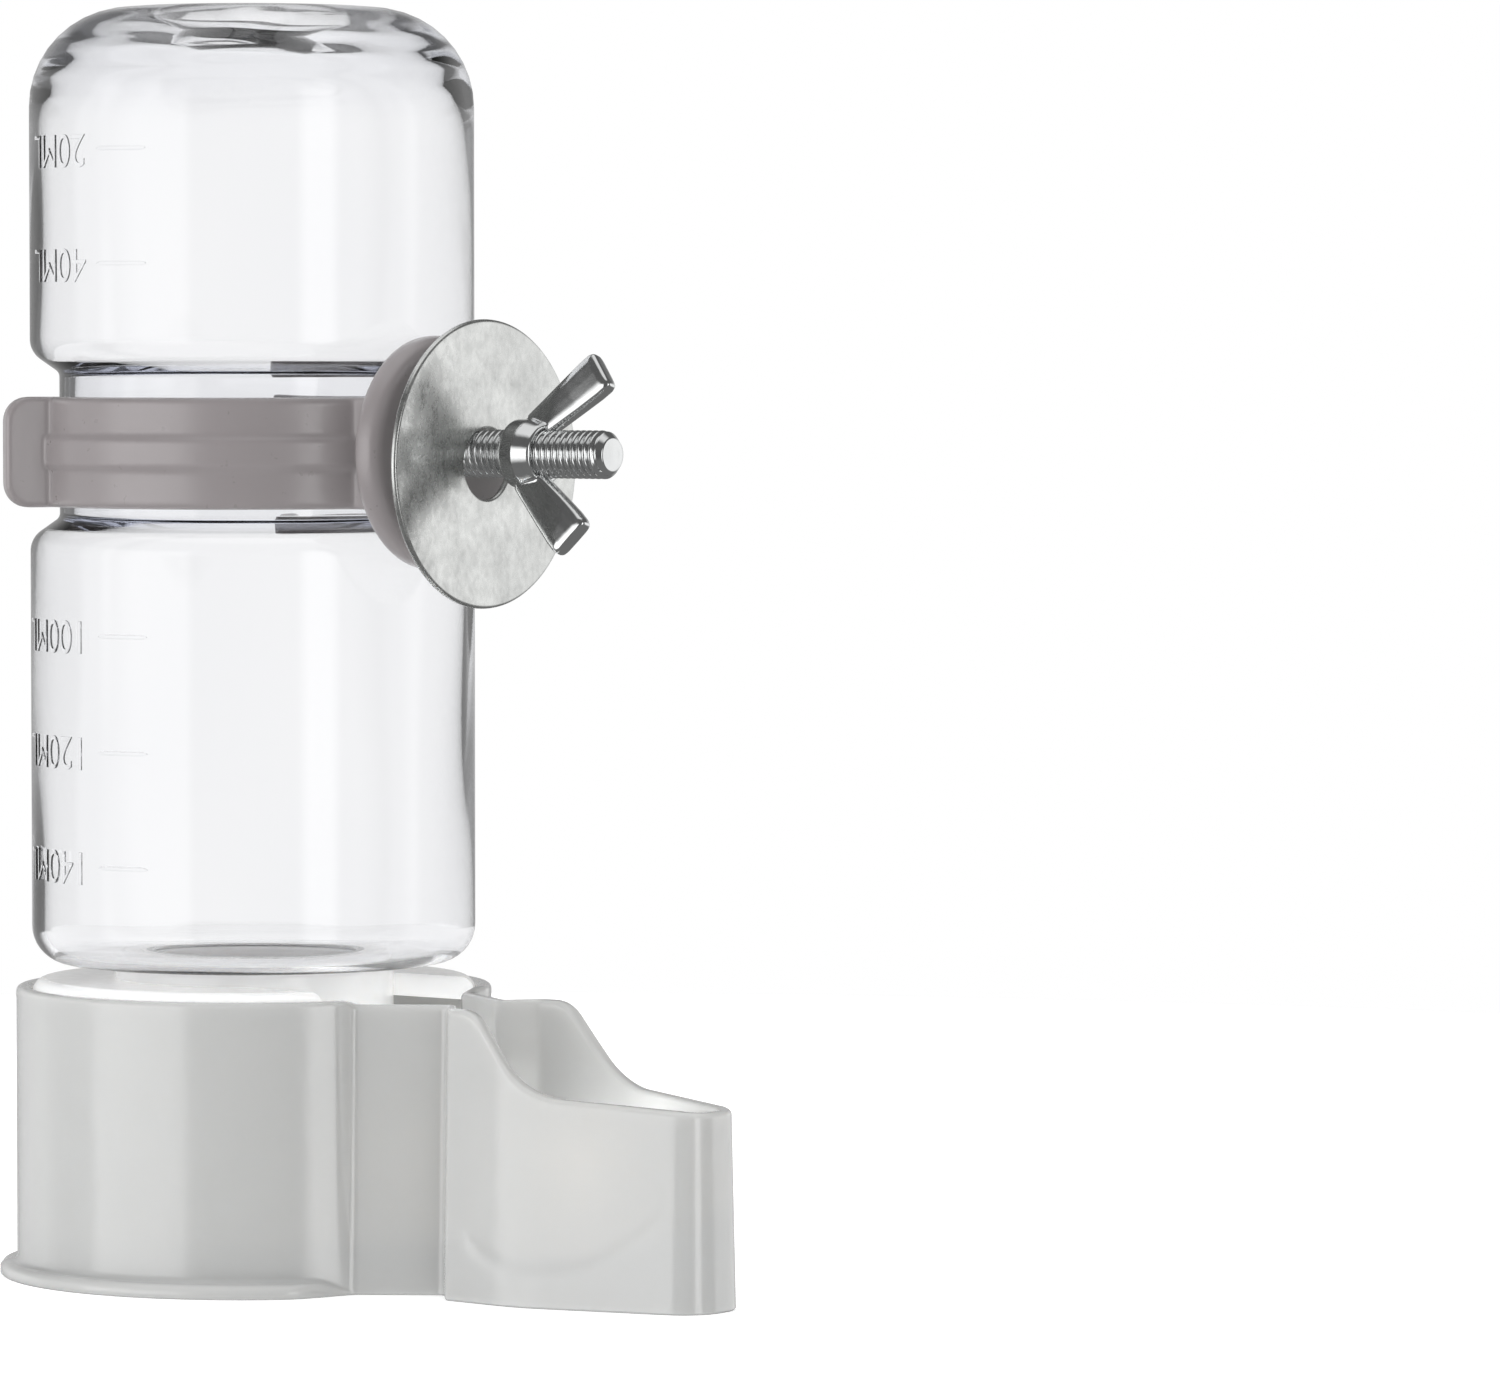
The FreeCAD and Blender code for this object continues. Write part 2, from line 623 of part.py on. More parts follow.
def make_wing_nut():
    """The wing nut: a tapered hub with two wings that lean forward."""
    body = new_body("wing_nut", x=NUT_SEAT, z=CLIP_LEVEL)
    hub = polygon(body, "hub_section", "XZ_Plane", [
        ("0", "0"),
        ("0", "nut_radius"),
        ("hub_shoulder", "nut_radius"),
        ("nut_length", "nut_nose"),
        ("nut_length", "0"),
    ])
    revolve(body, hub, "H_Axis")
    long = "sqrt((wing_height - nut_length / 2)^2 + (wing_reach - bolt_radius)^2)"
    along = (f"(wing_height - nut_length / 2) / {long}", f"(wing_reach - bolt_radius) / {long}")
    for side, word in ((1, "upper"), (-1, "lower")):
        places = []
        for x, y, across in (
            ("nut_length / 2", "bolt_radius", "wing_root / 2"),
            ("wing_height", "wing_reach", "wing_width / 2"),
            ("wing_height", "wing_reach", "-wing_width / 2"),
            ("nut_length / 2", "bolt_radius", "-wing_root / 2"),
        ):
            place_x = f"{x} - ({across}) * {along[1]}"
            place_y = f"{side} * ({y} + ({across}) * {along[0]})"
            places.append((place_x, place_y))
        wing = polygon(body, f"{word}_wing_side", "XZ_Plane", places)
        pad(body, wing, "wing_thickness", both_ways=True)
    thickness = size("wing_thickness")
    outer_half = size("wing_reach - wing_width / 2")
    round_edges(body, "wing_rounding", "wing_round",
                lambda middle, edge: abs(edge.Length - thickness) < NEAR
                and abs(middle.y) < NEAR and abs(middle.z) > outer_half)
    bore = circles(body, "thread_plan", "YZ_Plane", ["bolt_radius + thread_gap"])
    pocket(body, bore, "nut_length * 4", both_ways=True)
    body.setExpression("Placement.Rotation.Angle", cells("-nut_turn"))
    body.Placement.Rotation = FreeCAD.Rotation(FreeCAD.Vector(1, 0, 0), -size("nut_turn"))
    doc.recompute()
    return body


PIECES = [
    make_fount_base(),
    make_neck_collar(),
    make_bottle(),
    make_mounting_clip(),
    make_clamp_bolt(),
    make_clamp_washer(),
    make_wing_nut(),
]

doc.recompute()
for item in doc.Objects:
    if "Invalid" in item.State or "Error" in item.State:
        raise RuntimeError(f"{item.Name} failed: {item.State}")
for piece in PIECES:
    if piece.Shape.isNull() or not piece.Shape.isValid() or len(piece.Shape.Solids) != 1:
        raise RuntimeError(f"{piece.Label} has no single valid solid")

os.makedirs("parts", exist_ok=True)
for piece in PIECES:
    piece.Shape.exportStep(f"parts/{piece.Label}.step")
    box = piece.Shape.BoundBox
    print(f"{piece.Label}: {piece.Shape.Volume:.0f} mm3, X {box.XMin:.2f} {box.XMax:.2f}, "
          f"Y {box.YMin:.2f} {box.YMax:.2f}, Z {box.ZMin:.2f} {box.ZMax:.2f}")
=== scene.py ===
import math

import bmesh
import bpy
import numpy as np
from mathutils import Matrix, Vector


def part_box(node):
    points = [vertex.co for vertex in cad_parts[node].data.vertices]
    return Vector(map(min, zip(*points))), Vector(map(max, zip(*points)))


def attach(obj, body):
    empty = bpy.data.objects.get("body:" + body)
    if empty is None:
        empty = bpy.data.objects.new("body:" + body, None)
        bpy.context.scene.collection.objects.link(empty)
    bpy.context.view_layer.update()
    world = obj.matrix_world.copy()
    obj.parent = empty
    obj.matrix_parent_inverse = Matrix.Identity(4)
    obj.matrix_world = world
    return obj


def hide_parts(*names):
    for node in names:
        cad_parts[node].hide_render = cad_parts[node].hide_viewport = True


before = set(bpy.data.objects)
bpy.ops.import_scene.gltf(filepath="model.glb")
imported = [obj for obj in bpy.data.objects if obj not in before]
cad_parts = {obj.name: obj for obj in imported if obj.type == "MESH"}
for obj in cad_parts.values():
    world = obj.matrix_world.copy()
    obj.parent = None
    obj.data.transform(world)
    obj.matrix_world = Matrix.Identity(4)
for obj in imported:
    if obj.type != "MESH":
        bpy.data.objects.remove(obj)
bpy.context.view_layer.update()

# Sizes here are in millimetres; MM turns them into Blender's metres.
MM = 0.001
MERGE_WITHIN = 0.0005


def box_mm(node):
    """Lowest and highest corner of a CAD node, in millimetres."""
    low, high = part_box(node)
    return np.array(low) / MM, np.array(high) / MM


BASE_HIGH = box_mm("fount_base")[1]
COLLAR_HIGH = box_mm("neck_collar")[1]
BOTTLE_LOW, BOTTLE_HIGH = box_mm("bottle")
CLIP_HIGH = box_mm("mounting_clip")[1]
BOLT_LOW, BOLT_HIGH = box_mm("clamp_bolt")
WASHER_LOW, WASHER_HIGH = box_mm("clamp_washer")
NUT_LOW = box_mm("wing_nut")[0]
BOLT_LEVEL = (BOLT_LOW[2] + BOLT_HIGH[2]) / 2
BOLT_RADIUS = 2.5


# ---------------------------------------------------------------- mesh helpers

def new_piece(name, vertices, faces, smooth=True):
    """An object made of vertices in millimetres and faces."""
    mesh = bpy.data.meshes.new(name)
    mesh.from_pydata([tuple(np.array(v) * MM) for v in vertices], [], faces)
    mesh.validate()
    mesh.update()
    if smooth:
        mesh.shade_smooth()
    piece = bpy.data.objects.new(name, mesh)
    bpy.context.scene.collection.objects.link(piece)
    return piece


def tidy_mesh(piece):
    """Merges doubled vertices and turns every face outwards."""
    mesh = bmesh.new()
    mesh.from_mesh(piece.data)
    bmesh.ops.remove_doubles(mesh, verts=mesh.verts, dist=MERGE_WITHIN * MM)
    bmesh.ops.recalc_face_normals(mesh, faces=mesh.faces)
    mesh.to_mesh(piece.data)
    mesh.free()
    piece.data.update()


def rounded_path(corners, radii, steps=6, longest=None):
    """Points along straight runs between corners, each turned by an arc of its radius."""
    corners = [np.array(c, float) for c in corners]
    path = [corners[0]]
    for before, corner, after, radius in zip(corners, corners[1:], corners[2:], radii):
        into = (before - corner) / np.linalg.norm(before - corner)
        out = (after - corner) / np.linalg.norm(after - corner)
        half = math.acos(np.clip(into @ out, -1, 1)) / 2
        if radius <= 0 or abs(half - math.pi / 2) < 1e-3:
            path.append(corner)
            continue
        reach = radius / math.tan(half)
        middle = corner + (into + out) / np.linalg.norm(into + out) * radius / math.sin(half)
        first = corner + into * reach - middle
        last = corner + out * reach - middle
        sweep = math.pi - 2 * half
        for step in range(steps + 1):
            share = step / steps
            weight_a = math.sin((1 - share) * sweep) / math.sin(sweep)
            weight_b = math.sin(share * sweep) / math.sin(sweep)
            path.append(middle + weight_a * first + weight_b * last)
    path.append(corners[-1])
    if longest is None:
        return path
    fine = [path[0]]
    for start, end in zip(path, path[1:]):
        pieces = max(1, math.ceil(np.linalg.norm(end - start) / longest))
        for part in range(1, pieces + 1):
            fine.append(start + (end - start) * part / pieces)
    return fine


def loft(rings, closed_path=True, caps=False):
    """A skin over rings of points: on a closed path the last ring is joined to the first."""
    count = len(rings[0])
    vertices = [point for ring in rings for point in ring]
    faces = []
    spans = len(rings) if closed_path else len(rings) - 1
    for row in range(spans):
        after = (row + 1) % len(rings)
        for column in range(count):
            beside = (column + 1) % count
            faces.append((row * count + column, row * count + beside,
                          after * count + beside, after * count + column))
    if caps:
        faces.append(tuple(range(count)))
        faces.append(tuple(range(len(vertices) - 1, len(vertices) - 1 - count, -1)))
    return vertices, faces


def turned(name, section, segments=128, level=0.0):
    """A piece turned about a line along X at some level: section holds pairs of radius and reach."""
    rings = []
    for radius, reach in section:
        ring = []
        for segment in range(segments):
            turn = 2 * math.pi * segment / segments
            ring.append((reach, radius * math.cos(turn), radius * math.sin(turn) + level))
        rings.append(ring)
    vertices, faces = loft(rings)
    piece = new_piece(name, vertices, faces)
    tidy_mesh(piece)
    return piece


def join(name, pieces):
    """Joins pieces into one object called name."""
    bpy.ops.object.select_all(action="DESELECT")
    for piece in pieces:
        piece.select_set(True)
    bpy.context.view_layer.objects.active = pieces[0]
    bpy.ops.object.join()
    pieces[0].name = name
    pieces[0].data.name = name
    return pieces[0]


def apply_all(piece):
    """Turns a piece with modifiers into its final mesh."""
    graph = bpy.context.evaluated_depsgraph_get()
    mesh = bpy.data.meshes.new_from_object(piece.evaluated_get(graph))
    piece.modifiers.clear()
    piece.data = mesh
    return piece


def melt(piece, voxel, passes):
    """Fuses overlapping shells into one moulded or cast skin with soft inner corners."""
    remesh = piece.modifiers.new("fuse", "REMESH")
    remesh.mode = "VOXEL"
    remesh.voxel_size = voxel * MM
    relax = piece.modifiers.new("soften", "SMOOTH")
    relax.factor = 0.5
    relax.iterations = passes
    apply_all(piece)
    piece.data.shade_smooth()
    return piece


# ------------------------------------------------------------------- materials

def new_material(name):
    """A node material with an empty Principled shader; returns material, nodes, links, shader."""
    material = bpy.data.materials.new(name)
    material.use_nodes = True
    tree = material.node_tree
    return material, tree.nodes, tree.links, tree.nodes["Principled BSDF"]


def node(nodes, kind, **settings):
    """A new shader node with some of its inputs or properties set."""
    made = nodes.new(kind)
    for key, value in settings.items():
        if key in made.inputs:
            made.inputs[key].default_value = value
        else:
            setattr(made, key, value)
    return made


def noise(nodes, links, scale, detail=4.0, stretch=(1, 1, 1), rough=0.5):
    """Noise in object space; scale is in features a metre, and stretch makes it streaky."""
    spot = nodes.new("ShaderNodeTexCoord")
    mapping = nodes.new("ShaderNodeMapping")
    mapping.inputs["Scale"].default_value = stretch
    texture = nodes.new("ShaderNodeTexNoise")
    texture.inputs["Scale"].default_value = scale
    texture.inputs["Detail"].default_value = detail
    texture.inputs["Roughness"].default_value = rough
    links.new(spot.outputs["Object"], mapping.inputs["Vector"])
    links.new(mapping.outputs["Vector"], texture.inputs["Vector"])
    return texture.outputs["Fac"]


def ramp(nodes, links, source, stops):
    """A colour ramp over source, with stops as pairs of place and colour."""
    made = nodes.new("ShaderNodeValToRGB")
    elements = made.color_ramp.elements
    while len(elements) < len(stops):
        elements.new(0.5)
    for element, (place, colour) in zip(elements, stops):
        element.position = place
        element.color = (*colour, 1.0)
    links.new(source, made.inputs["Fac"])
    return made.outputs["Color"]


def to_range(nodes, links, source, low, high):
    """Maps source from 0.3..0.7, where noise mostly lies, to low..high."""
    made = nodes.new("ShaderNodeMapRange")
    made.inputs["From Min"].default_value = 0.3
    made.inputs["From Max"].default_value = 0.7
    made.inputs["To Min"].default_value = low
    made.inputs["To Max"].default_value = high
    links.new(source, made.inputs["Value"])
    return made.outputs["Result"]


def bump(nodes, links, shader, heights):
    """Bump from several sources, each a pair of height output and depth in millimetres."""
    last = None
    for source, depth in heights:
        made = nodes.new("ShaderNodeBump")
        made.inputs["Distance"].default_value = depth * MM
        links.new(source, made.inputs["Height"])
        if last is not None:
            links.new(last, made.inputs["Normal"])
        last = made.outputs["Normal"]
    links.new(last, shader.inputs["Normal"])


def moulded_plastic(name, colour, roughness, soak, coat, coat_roughness=0.07, painted_glow=0.0):
    """Injection-moulded plastic: faint mottling, a soft skin, light that soaks in below the skin, and a
    painted glow that brightens its shade evenly.
    """
    material, nodes, links, shader = new_material(name)
    cloud = noise(nodes, links, 60.0, 3.0)
    darker = tuple(c * 0.97 for c in colour)
    links.new(ramp(nodes, links, cloud, [(0.3, darker), (0.7, colour)]), shader.inputs["Base Color"])
    grain = noise(nodes, links, 900.0, 5.0)
    links.new(to_range(nodes, links, grain, roughness * 0.85, roughness * 1.2),
              shader.inputs["Roughness"])
    shader.inputs["Subsurface Weight"].default_value = soak
    shader.inputs["Subsurface Radius"].default_value = (1.0, 0.95, 0.9)
    shader.inputs["Subsurface Scale"].default_value = 3.5 * MM
    shader.inputs["IOR"].default_value = 1.49
    shader.inputs["Coat Weight"].default_value = coat
    shader.inputs["Coat Roughness"].default_value = coat_roughness
    # Painted glow: an even emission that brightens the plastic's shaded parts, standing in for light
    # coming through its walls.
    shader.inputs["Emission Color"].default_value = (1.0, 0.985, 0.97, 1.0)
    shader.inputs["Emission Strength"].default_value = painted_glow
    ripple = noise(nodes, links, 140.0, 2.0)
    bump(nodes, links, shader, [(ripple, 0.02)])
    return material


def clear_plastic():
    """Clear blow-moulded PET with a faint cool tint and slightly wavy skin."""
    material, nodes, links, shader = new_material("clear_bottle")
    shader.inputs["Base Color"].default_value = (1.0, 1.0, 1.0, 1.0)
    shader.inputs["Transmission Weight"].default_value = 1.0
    shader.inputs["IOR"].default_value = 1.46
    smear = noise(nodes, links, 90.0, 3.0, stretch=(1, 1, 0.25))
    links.new(to_range(nodes, links, smear, 0.0, 0.045), shader.inputs["Roughness"])
    wave = noise(nodes, links, 70.0, 2.0, stretch=(1, 1, 0.2))
    bump(nodes, links, shader, [(wave, 0.05)])
    tint = nodes.new("ShaderNodeVolumeAbsorption")
    tint.inputs["Color"].default_value = (0.50, 0.53, 0.64, 1.0)
    tint.inputs["Density"].default_value = 80.0
    links.new(tint.outputs["Volume"], nodes["Material Output"].inputs["Volume"])
    return material


def zinc(name, colour, roughness, scuffs):
    """Zinc-plated steel: bright or dull, with cloudy spangle and fine scuffs."""
    material, nodes, links, shader = new_material(name)
    shader.inputs["Metallic"].default_value = 1.0
    cloud = noise(nodes, links, 260.0, 6.0, rough=0.6)
    dark = tuple(c * (1 - 0.2 * scuffs) for c in colour)
    links.new(ramp(nodes, links, cloud, [(0.35, dark), (0.65, colour)]), shader.inputs["Base Color"])
    fine = noise(nodes, links, 1100.0, 6.0, stretch=(1, 1, 0.7), rough=0.7)
    links.new(to_range(nodes, links, fine, roughness * 0.7, roughness * 1.5),
              shader.inputs["Roughness"])
    bump(nodes, links, shader, [(cloud, 0.03 * scuffs), (fine, 0.006 * scuffs)])
    return material


# The last number of each plastic is a painted glow: emission that brightens its shaded parts.
MATERIALS = {
    "base_plastic": moulded_plastic("base_plastic", (0.435, 0.44, 0.437), roughness=0.2, soak=0.7,
                                    coat=0.9, painted_glow=0.03),
    "deck_plastic": moulded_plastic("deck_plastic", (0.93, 0.935, 0.93), roughness=0.15, soak=0.8,
                                    coat=0.5, painted_glow=0.2),
    "clip_plastic": moulded_plastic("clip_plastic", (0.200, 0.180, 0.184), roughness=0.32, soak=0.1,
                                    coat=0.7, coat_roughness=0.22, painted_glow=0.045),
    "clear_bottle": clear_plastic(),
    "bolt_steel": zinc("bolt_steel", (0.78, 0.79, 0.79), roughness=0.10, scuffs=0.4),
    "nut_steel": zinc("nut_steel", (0.78, 0.79, 0.79), roughness=0.10, scuffs=0.5),
    "washer_steel": zinc("washer_steel", (0.76, 0.77, 0.755), roughness=0.25, scuffs=1.0),
}


def finish_piece(piece, body, slot, *nodes):
    """Gives a piece its material, the body it rides on and the CAD nodes it stands for."""
    piece.data.materials.clear()
    piece.data.materials.append(MATERIALS[slot])
    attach(piece, body)
    if nodes:
        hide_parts(*nodes)
    return piece


# ---------------------------------------------------------------------- bottle

BOTTLE_RADIUS = BOTTLE_HIGH[0]
BOTTLE_END = BOTTLE_HIGH[2]
SEAT = COLLAR_HIGH[2]
NECK_RADIUS = 11.6
BOTTLE_WALL = 0.8
WAIST_RADIUS = 20.4
WAIST_START = SEAT + 47.2
WAIST_HEIGHT = 15.3
WAIST_SLOPE = 2.2
END_CORNER = 10.5
DISH_RADIUS = 12.0
DISH_DEPTH = 2.6

# The inner skin: more wall behind the groove, a rounder end corner, and how deep it wavers.
GROOVE_EXTRA = 1.0
INNER_CORNER = 11.4
INNER_DISH = 10.6
WAVE_DEPTH = 0.10
FINE_WAVE_DEPTH = 0.05
FOLD_DEPTH = 0.10
FINE_FOLD_DEPTH = 0.03
BOTTLE_SEGMENTS = 192


def bottle_section(inset, waist_extra=0.0, end_corner=END_CORNER, dish=DISH_RADIUS):
    """Half section of one skin of the bottle, from the mouth up to the middle of its end."""
    top = BOTTLE_END - inset
    body = BOTTLE_RADIUS - inset
    waist = WAIST_RADIUS - inset - waist_extra
    corners = [
        (NECK_RADIUS - inset, BOTTLE_LOW[2] + 0.4),
        (NECK_RADIUS - inset, SEAT + inset),
        (body, SEAT + inset),
        (body, WAIST_START - WAIST_SLOPE),
        (waist, WAIST_START),
        (waist, WAIST_START + WAIST_HEIGHT),
        (body, WAIST_START + WAIST_HEIGHT + WAIST_SLOPE),
        (body, top),
        (dish, top),
        (dish * 0.55, top - DISH_DEPTH),
        (0.01, top - DISH_DEPTH),
    ]
    radii = [0.5, 4.0 - inset, 2.6, 0.9, 0.9, 2.6, end_corner, 3.0, 2.2]
    return rounded_path(corners, radii, steps=10, longest=1.2)


def waver(radius, height, turn):
    """How far the inner skin stands out: long waves up its wall, and folds in its end corner."""
    out = 0.0
    if radius > DISH_RADIUS:
        out += WAVE_DEPTH * math.sin(3 * turn + height / 19) * math.sin(height / 7.5)
        out += FINE_WAVE_DEPTH * math.sin(7 * turn - height / 11)
    above = height - BOTTLE_END + INNER_CORNER
    if radius > INNER_DISH and above > 0:
        at_corner = math.sin(math.pi * above / INNER_CORNER) ** 2
        out -= at_corner * FOLD_DEPTH * (1 + math.sin(2 * turn + height * 2.4))
        out -= at_corner * FINE_FOLD_DEPTH * math.sin(9 * turn - height * 1.9)
    return out


def make_bottle():
    """The bottle as one closed wall: a round mouth, and an inner skin that wavers slightly."""
    outer = bottle_section(0.0)
    inner = bottle_section(BOTTLE_WALL, GROOVE_EXTRA, INNER_CORNER, INNER_DISH)
    lip = [(NECK_RADIUS - 0.12, BOTTLE_LOW[2] + 0.1),
           (NECK_RADIUS - 0.4, BOTTLE_LOW[2]),
           (NECK_RADIUS - BOTTLE_WALL + 0.12, BOTTLE_LOW[2] + 0.1)]
    section = [tuple(p) for p in reversed(outer)] + lip + [tuple(p) for p in inner]
    first_inner = len(outer) + len(lip)
    rings = []
    for index, (radius, height) in enumerate(section):
        ring = []
        for segment in range(BOTTLE_SEGMENTS):
            turn = 2 * math.pi * segment / BOTTLE_SEGMENTS
            spread = radius
            if index >= first_inner:
                spread += waver(radius, height, turn)
            ring.append((spread * math.cos(turn), spread * math.sin(turn), height))
        rings.append(ring)
    vertices, faces = loft(rings, closed_path=False, caps=True)
    bottle = new_piece("bottle_body", vertices, faces)
    tidy_mesh(bottle)
    return bottle


# Volume in millilitres and level of each mark that shows, and the direction the marks face.
MARK_LEVELS = {20: 118.8, 40: 106.9, 100: 68.2, 120: 56.1, 140: 44.1}
MARK_TURN = math.radians(-92.5)
MARK_RAISE = 0.08
MARK_BEVEL = 0.05
FONT_SIZE = 4.968
GAP_TO_TICK = 1.6
TICK_LENGTH = 6.2
TICK_WIDTH = 0.5
TICK_STEPS = 12
# The tick's section: share of its width, and height above the bottle's wall.
TICK_SECTION = ((-0.5, -0.2), (-0.5, 0.02), (-0.28, 0.08), (0.28, 0.08), (0.5, 0.02), (0.5, -0.2))


def wrap_on_bottle(mesh, level, turn, radius):
    """Bends flat lettering round the bottle. It reads the right way up with the mouth on top."""
    for vertex in mesh.vertices:
        along, up, out = vertex.co / MM
        angle = turn - along / radius
        reach = radius + out
        spot = (reach * math.cos(angle), reach * math.sin(angle), level - up)
        vertex.co = Vector(spot) * MM


def numerals(text, level):
    """Raised numerals and their unit beside one volume mark."""
    curve = bpy.data.curves.new("mark_text", "FONT")
    curve.body = text
    curve.size = FONT_SIZE * MM
    curve.extrude = MARK_RAISE * MM
    curve.bevel_depth = MARK_BEVEL * MM
    curve.bevel_resolution = 1
    curve.offset = -MARK_BEVEL * MM
    curve.align_y = "CENTER"
    holder = bpy.data.objects.new("mark_text", curve)
    bpy.context.scene.collection.objects.link(holder)
    graph = bpy.context.evaluated_depsgraph_get()
    mesh = bpy.data.meshes.new_from_object(holder.evaluated_get(graph))
    bpy.data.objects.remove(holder)
    wrap_on_bottle(mesh, level, MARK_TURN - GAP_TO_TICK / BOTTLE_RADIUS, BOTTLE_RADIUS)
    piece = bpy.data.objects.new("marks_" + text, mesh)
    bpy.context.scene.collection.objects.link(piece)
    return piece


def tick(level):
    """A raised bar with a rounded top, bent round the bottle beside the numerals."""
    rings = []
    for step in range(TICK_STEPS + 1):
        angle = MARK_TURN + TICK_LENGTH * step / TICK_STEPS / BOTTLE_RADIUS
        width = TICK_WIDTH * (1.0 if 0 < step < TICK_STEPS else 0.3)
        ring = []
        for across, out in TICK_SECTION:
            reach = BOTTLE_RADIUS + out
            ring.append((reach * math.cos(angle), reach * math.sin(angle), level + across * width))
        rings.append(ring)
    vertices, faces = loft(rings, closed_path=False, caps=True)
    piece = new_piece("tick", vertices, faces)
    tidy_mesh(piece)
    return piece


def make_marks():
    """The volume marks, except at the levels of the groove and the clip."""
    pieces = []
    for volume, level in MARK_LEVELS.items():
        pieces.append(tick(level))
        pieces.append(numerals(f"{volume}ML", level))
    return join("bottle_marks", pieces)


def mark_bottle(bottle, marks):
    """Makes the marks part of the bottle's wall, so that light passes them without a joint."""
    union = bottle.modifiers.new("marks", "BOOLEAN")
    union.operation = "UNION"
    union.solver = "EXACT"
    union.object = marks
    apply_all(bottle)
    bpy.data.objects.remove(marks)
    bottle.data.shade_smooth()
    bottle.data.set_sharp_from_angle(angle=math.radians(35))
    return bottle


finish_piece(mark_bottle(make_bottle(), make_marks()), "bottle", "clear_bottle", "bottle")


# ------------------------------------------------------------------ fount base

DRUM_RADIUS = 25.2
WALL = 1.6
FLOOR = 5.0
RIM = BASE_HIGH[2]
RIM_STEP = 0.5
RIM_ROUND = 0.55
DRAFT = math.tan(math.radians(1.2))
FLANGE_REACH = 1.78
FLANGE_THICK = 1.5

# Corners of half the plan, from the tip back along the trough to where the throat meets the drum.
TIP = BASE_HIGH[0]
TIP_HALF = 4.1
BELLY = (43.0, 9.5)
FLARE = (33.3, 8.9)
THROAT = (30.4, 5.5)
JUNCTION = (22.8, 10.8)
JUNCTION_TURN = math.degrees(math.atan2(JUNCTION[1], JUNCTION[0]))

# Radii of the plan's corners. The tip's is smaller on the inside of the wall.
TIP_ROUND_OUTSIDE = 4.6
TIP_ROUND_INSIDE = 2.35
PLAN_ROUNDS = (18.4, 1.2, 0.8)
ARC_POINTS = 10
# How many stretches each straight run of the plan has, from the middle of the tip to the drum.
RUNS = (6, 44, 22, 8, 18)
DRUM_STEPS = 96

# Side outlines: the lip drops from the rim to the trough's edge, and the floor rises to the tip.
LIP_START = 36.6
LIP_FOOT = (43.4, 21.7)
TIP_HEIGHT = 20.5
SCOOP_START = 50.0
SCOOP_RISE = 4.5

# The sink line on the trough's outer wall: a shallow dent that follows a parabola.
SINK_DEPTH = 0.11
SINK_WIDTH = 0.9
SINK_LOWEST = (45.3, 3.4)
SINK_BEND = 0.038
SINK_ENDS = (35.5, 59.0)
CLOSE_ROWS_TO = 11.0


def half_plan(inset, tip_round):
    """Half the plan with its walls moved in, from the tip round the far side to the back."""
    drum = DRUM_RADIUS - inset
    side = JUNCTION[1] - inset
    junction = (math.sqrt(drum * drum - side * side), side)
    corners = [(TIP - inset, 0), (TIP - inset, TIP_HALF - inset)]
    corners += [(x, y - inset) for x, y in (BELLY, FLARE, THROAT)] + [junction]
    turns = rounded_path(corners, [tip_round, *PLAN_ROUNDS], steps=ARC_POINTS - 1)
    arcs = [turns[:1]]
    arcs += [turns[1 + ARC_POINTS * n:1 + ARC_POINTS * (n + 1)] for n in range(len(RUNS) - 1)]
    arcs += [turns[-1:]]
    path = [turns[0]]
    for before, after, count in zip(arcs, arcs[1:], RUNS):
        for part in range(1, count):
            path.append(before[-1] + (after[0] - before[-1]) * part / count)
        path += after
    start = math.atan2(junction[1], junction[0])
    for step in range(1, DRUM_STEPS + 1):
        turn = start + (math.pi - start) * step / DRUM_STEPS
        path.append(np.array((drum * math.cos(turn), drum * math.sin(turn))))
    return path


def whole_plan():
    """The closed plan outline, and at each point the way to the inside, per millimetre of wall."""
    outer = np.array(half_plan(0.0, TIP_ROUND_OUTSIDE))
    inner = np.array(half_plan(WALL, TIP_ROUND_INSIDE))
    mirror = np.array((1, -1))
    outer = np.concatenate([outer, outer[-2:0:-1] * mirror])
    inner = np.concatenate([inner, inner[-2:0:-1] * mirror])
    return outer, (inner - outer) / WALL


LIP = rounded_path([(20, RIM - RIM_STEP), (LIP_START, RIM - RIM_STEP), LIP_FOOT, (TIP, TIP_HEIGHT),
                    (TIP + 2, TIP_HEIGHT)], [3.6, 9.0, 0.0], steps=16)
SCOOP = rounded_path([(-40, FLOOR), (SCOOP_START, FLOOR), (TIP, FLOOR + SCOOP_RISE)], [14.0], steps=10)


def height_on(path, reach):
    """Height of a side outline at a place along X."""
    return float(np.interp(reach, [p[0] for p in path], [p[1] for p in path]))


def ease(share):
    """Smooth step from 0 to 1."""
    share = min(max(share, 0.0), 1.0)
    return share * share * (3 - 2 * share)


def sink(reach, height):
    """Depth of the sink line at a place on the trough's outer wall."""
    between_ends = ease((reach - SINK_ENDS[0]) / 2) * ease((SINK_ENDS[1] - reach) / 2)
    level = SINK_LOWEST[1] + SINK_BEND * (reach - SINK_LOWEST[0]) ** 2
    return SINK_DEPTH * between_ends * math.exp(-((height - level) / SINK_WIDTH) ** 2)


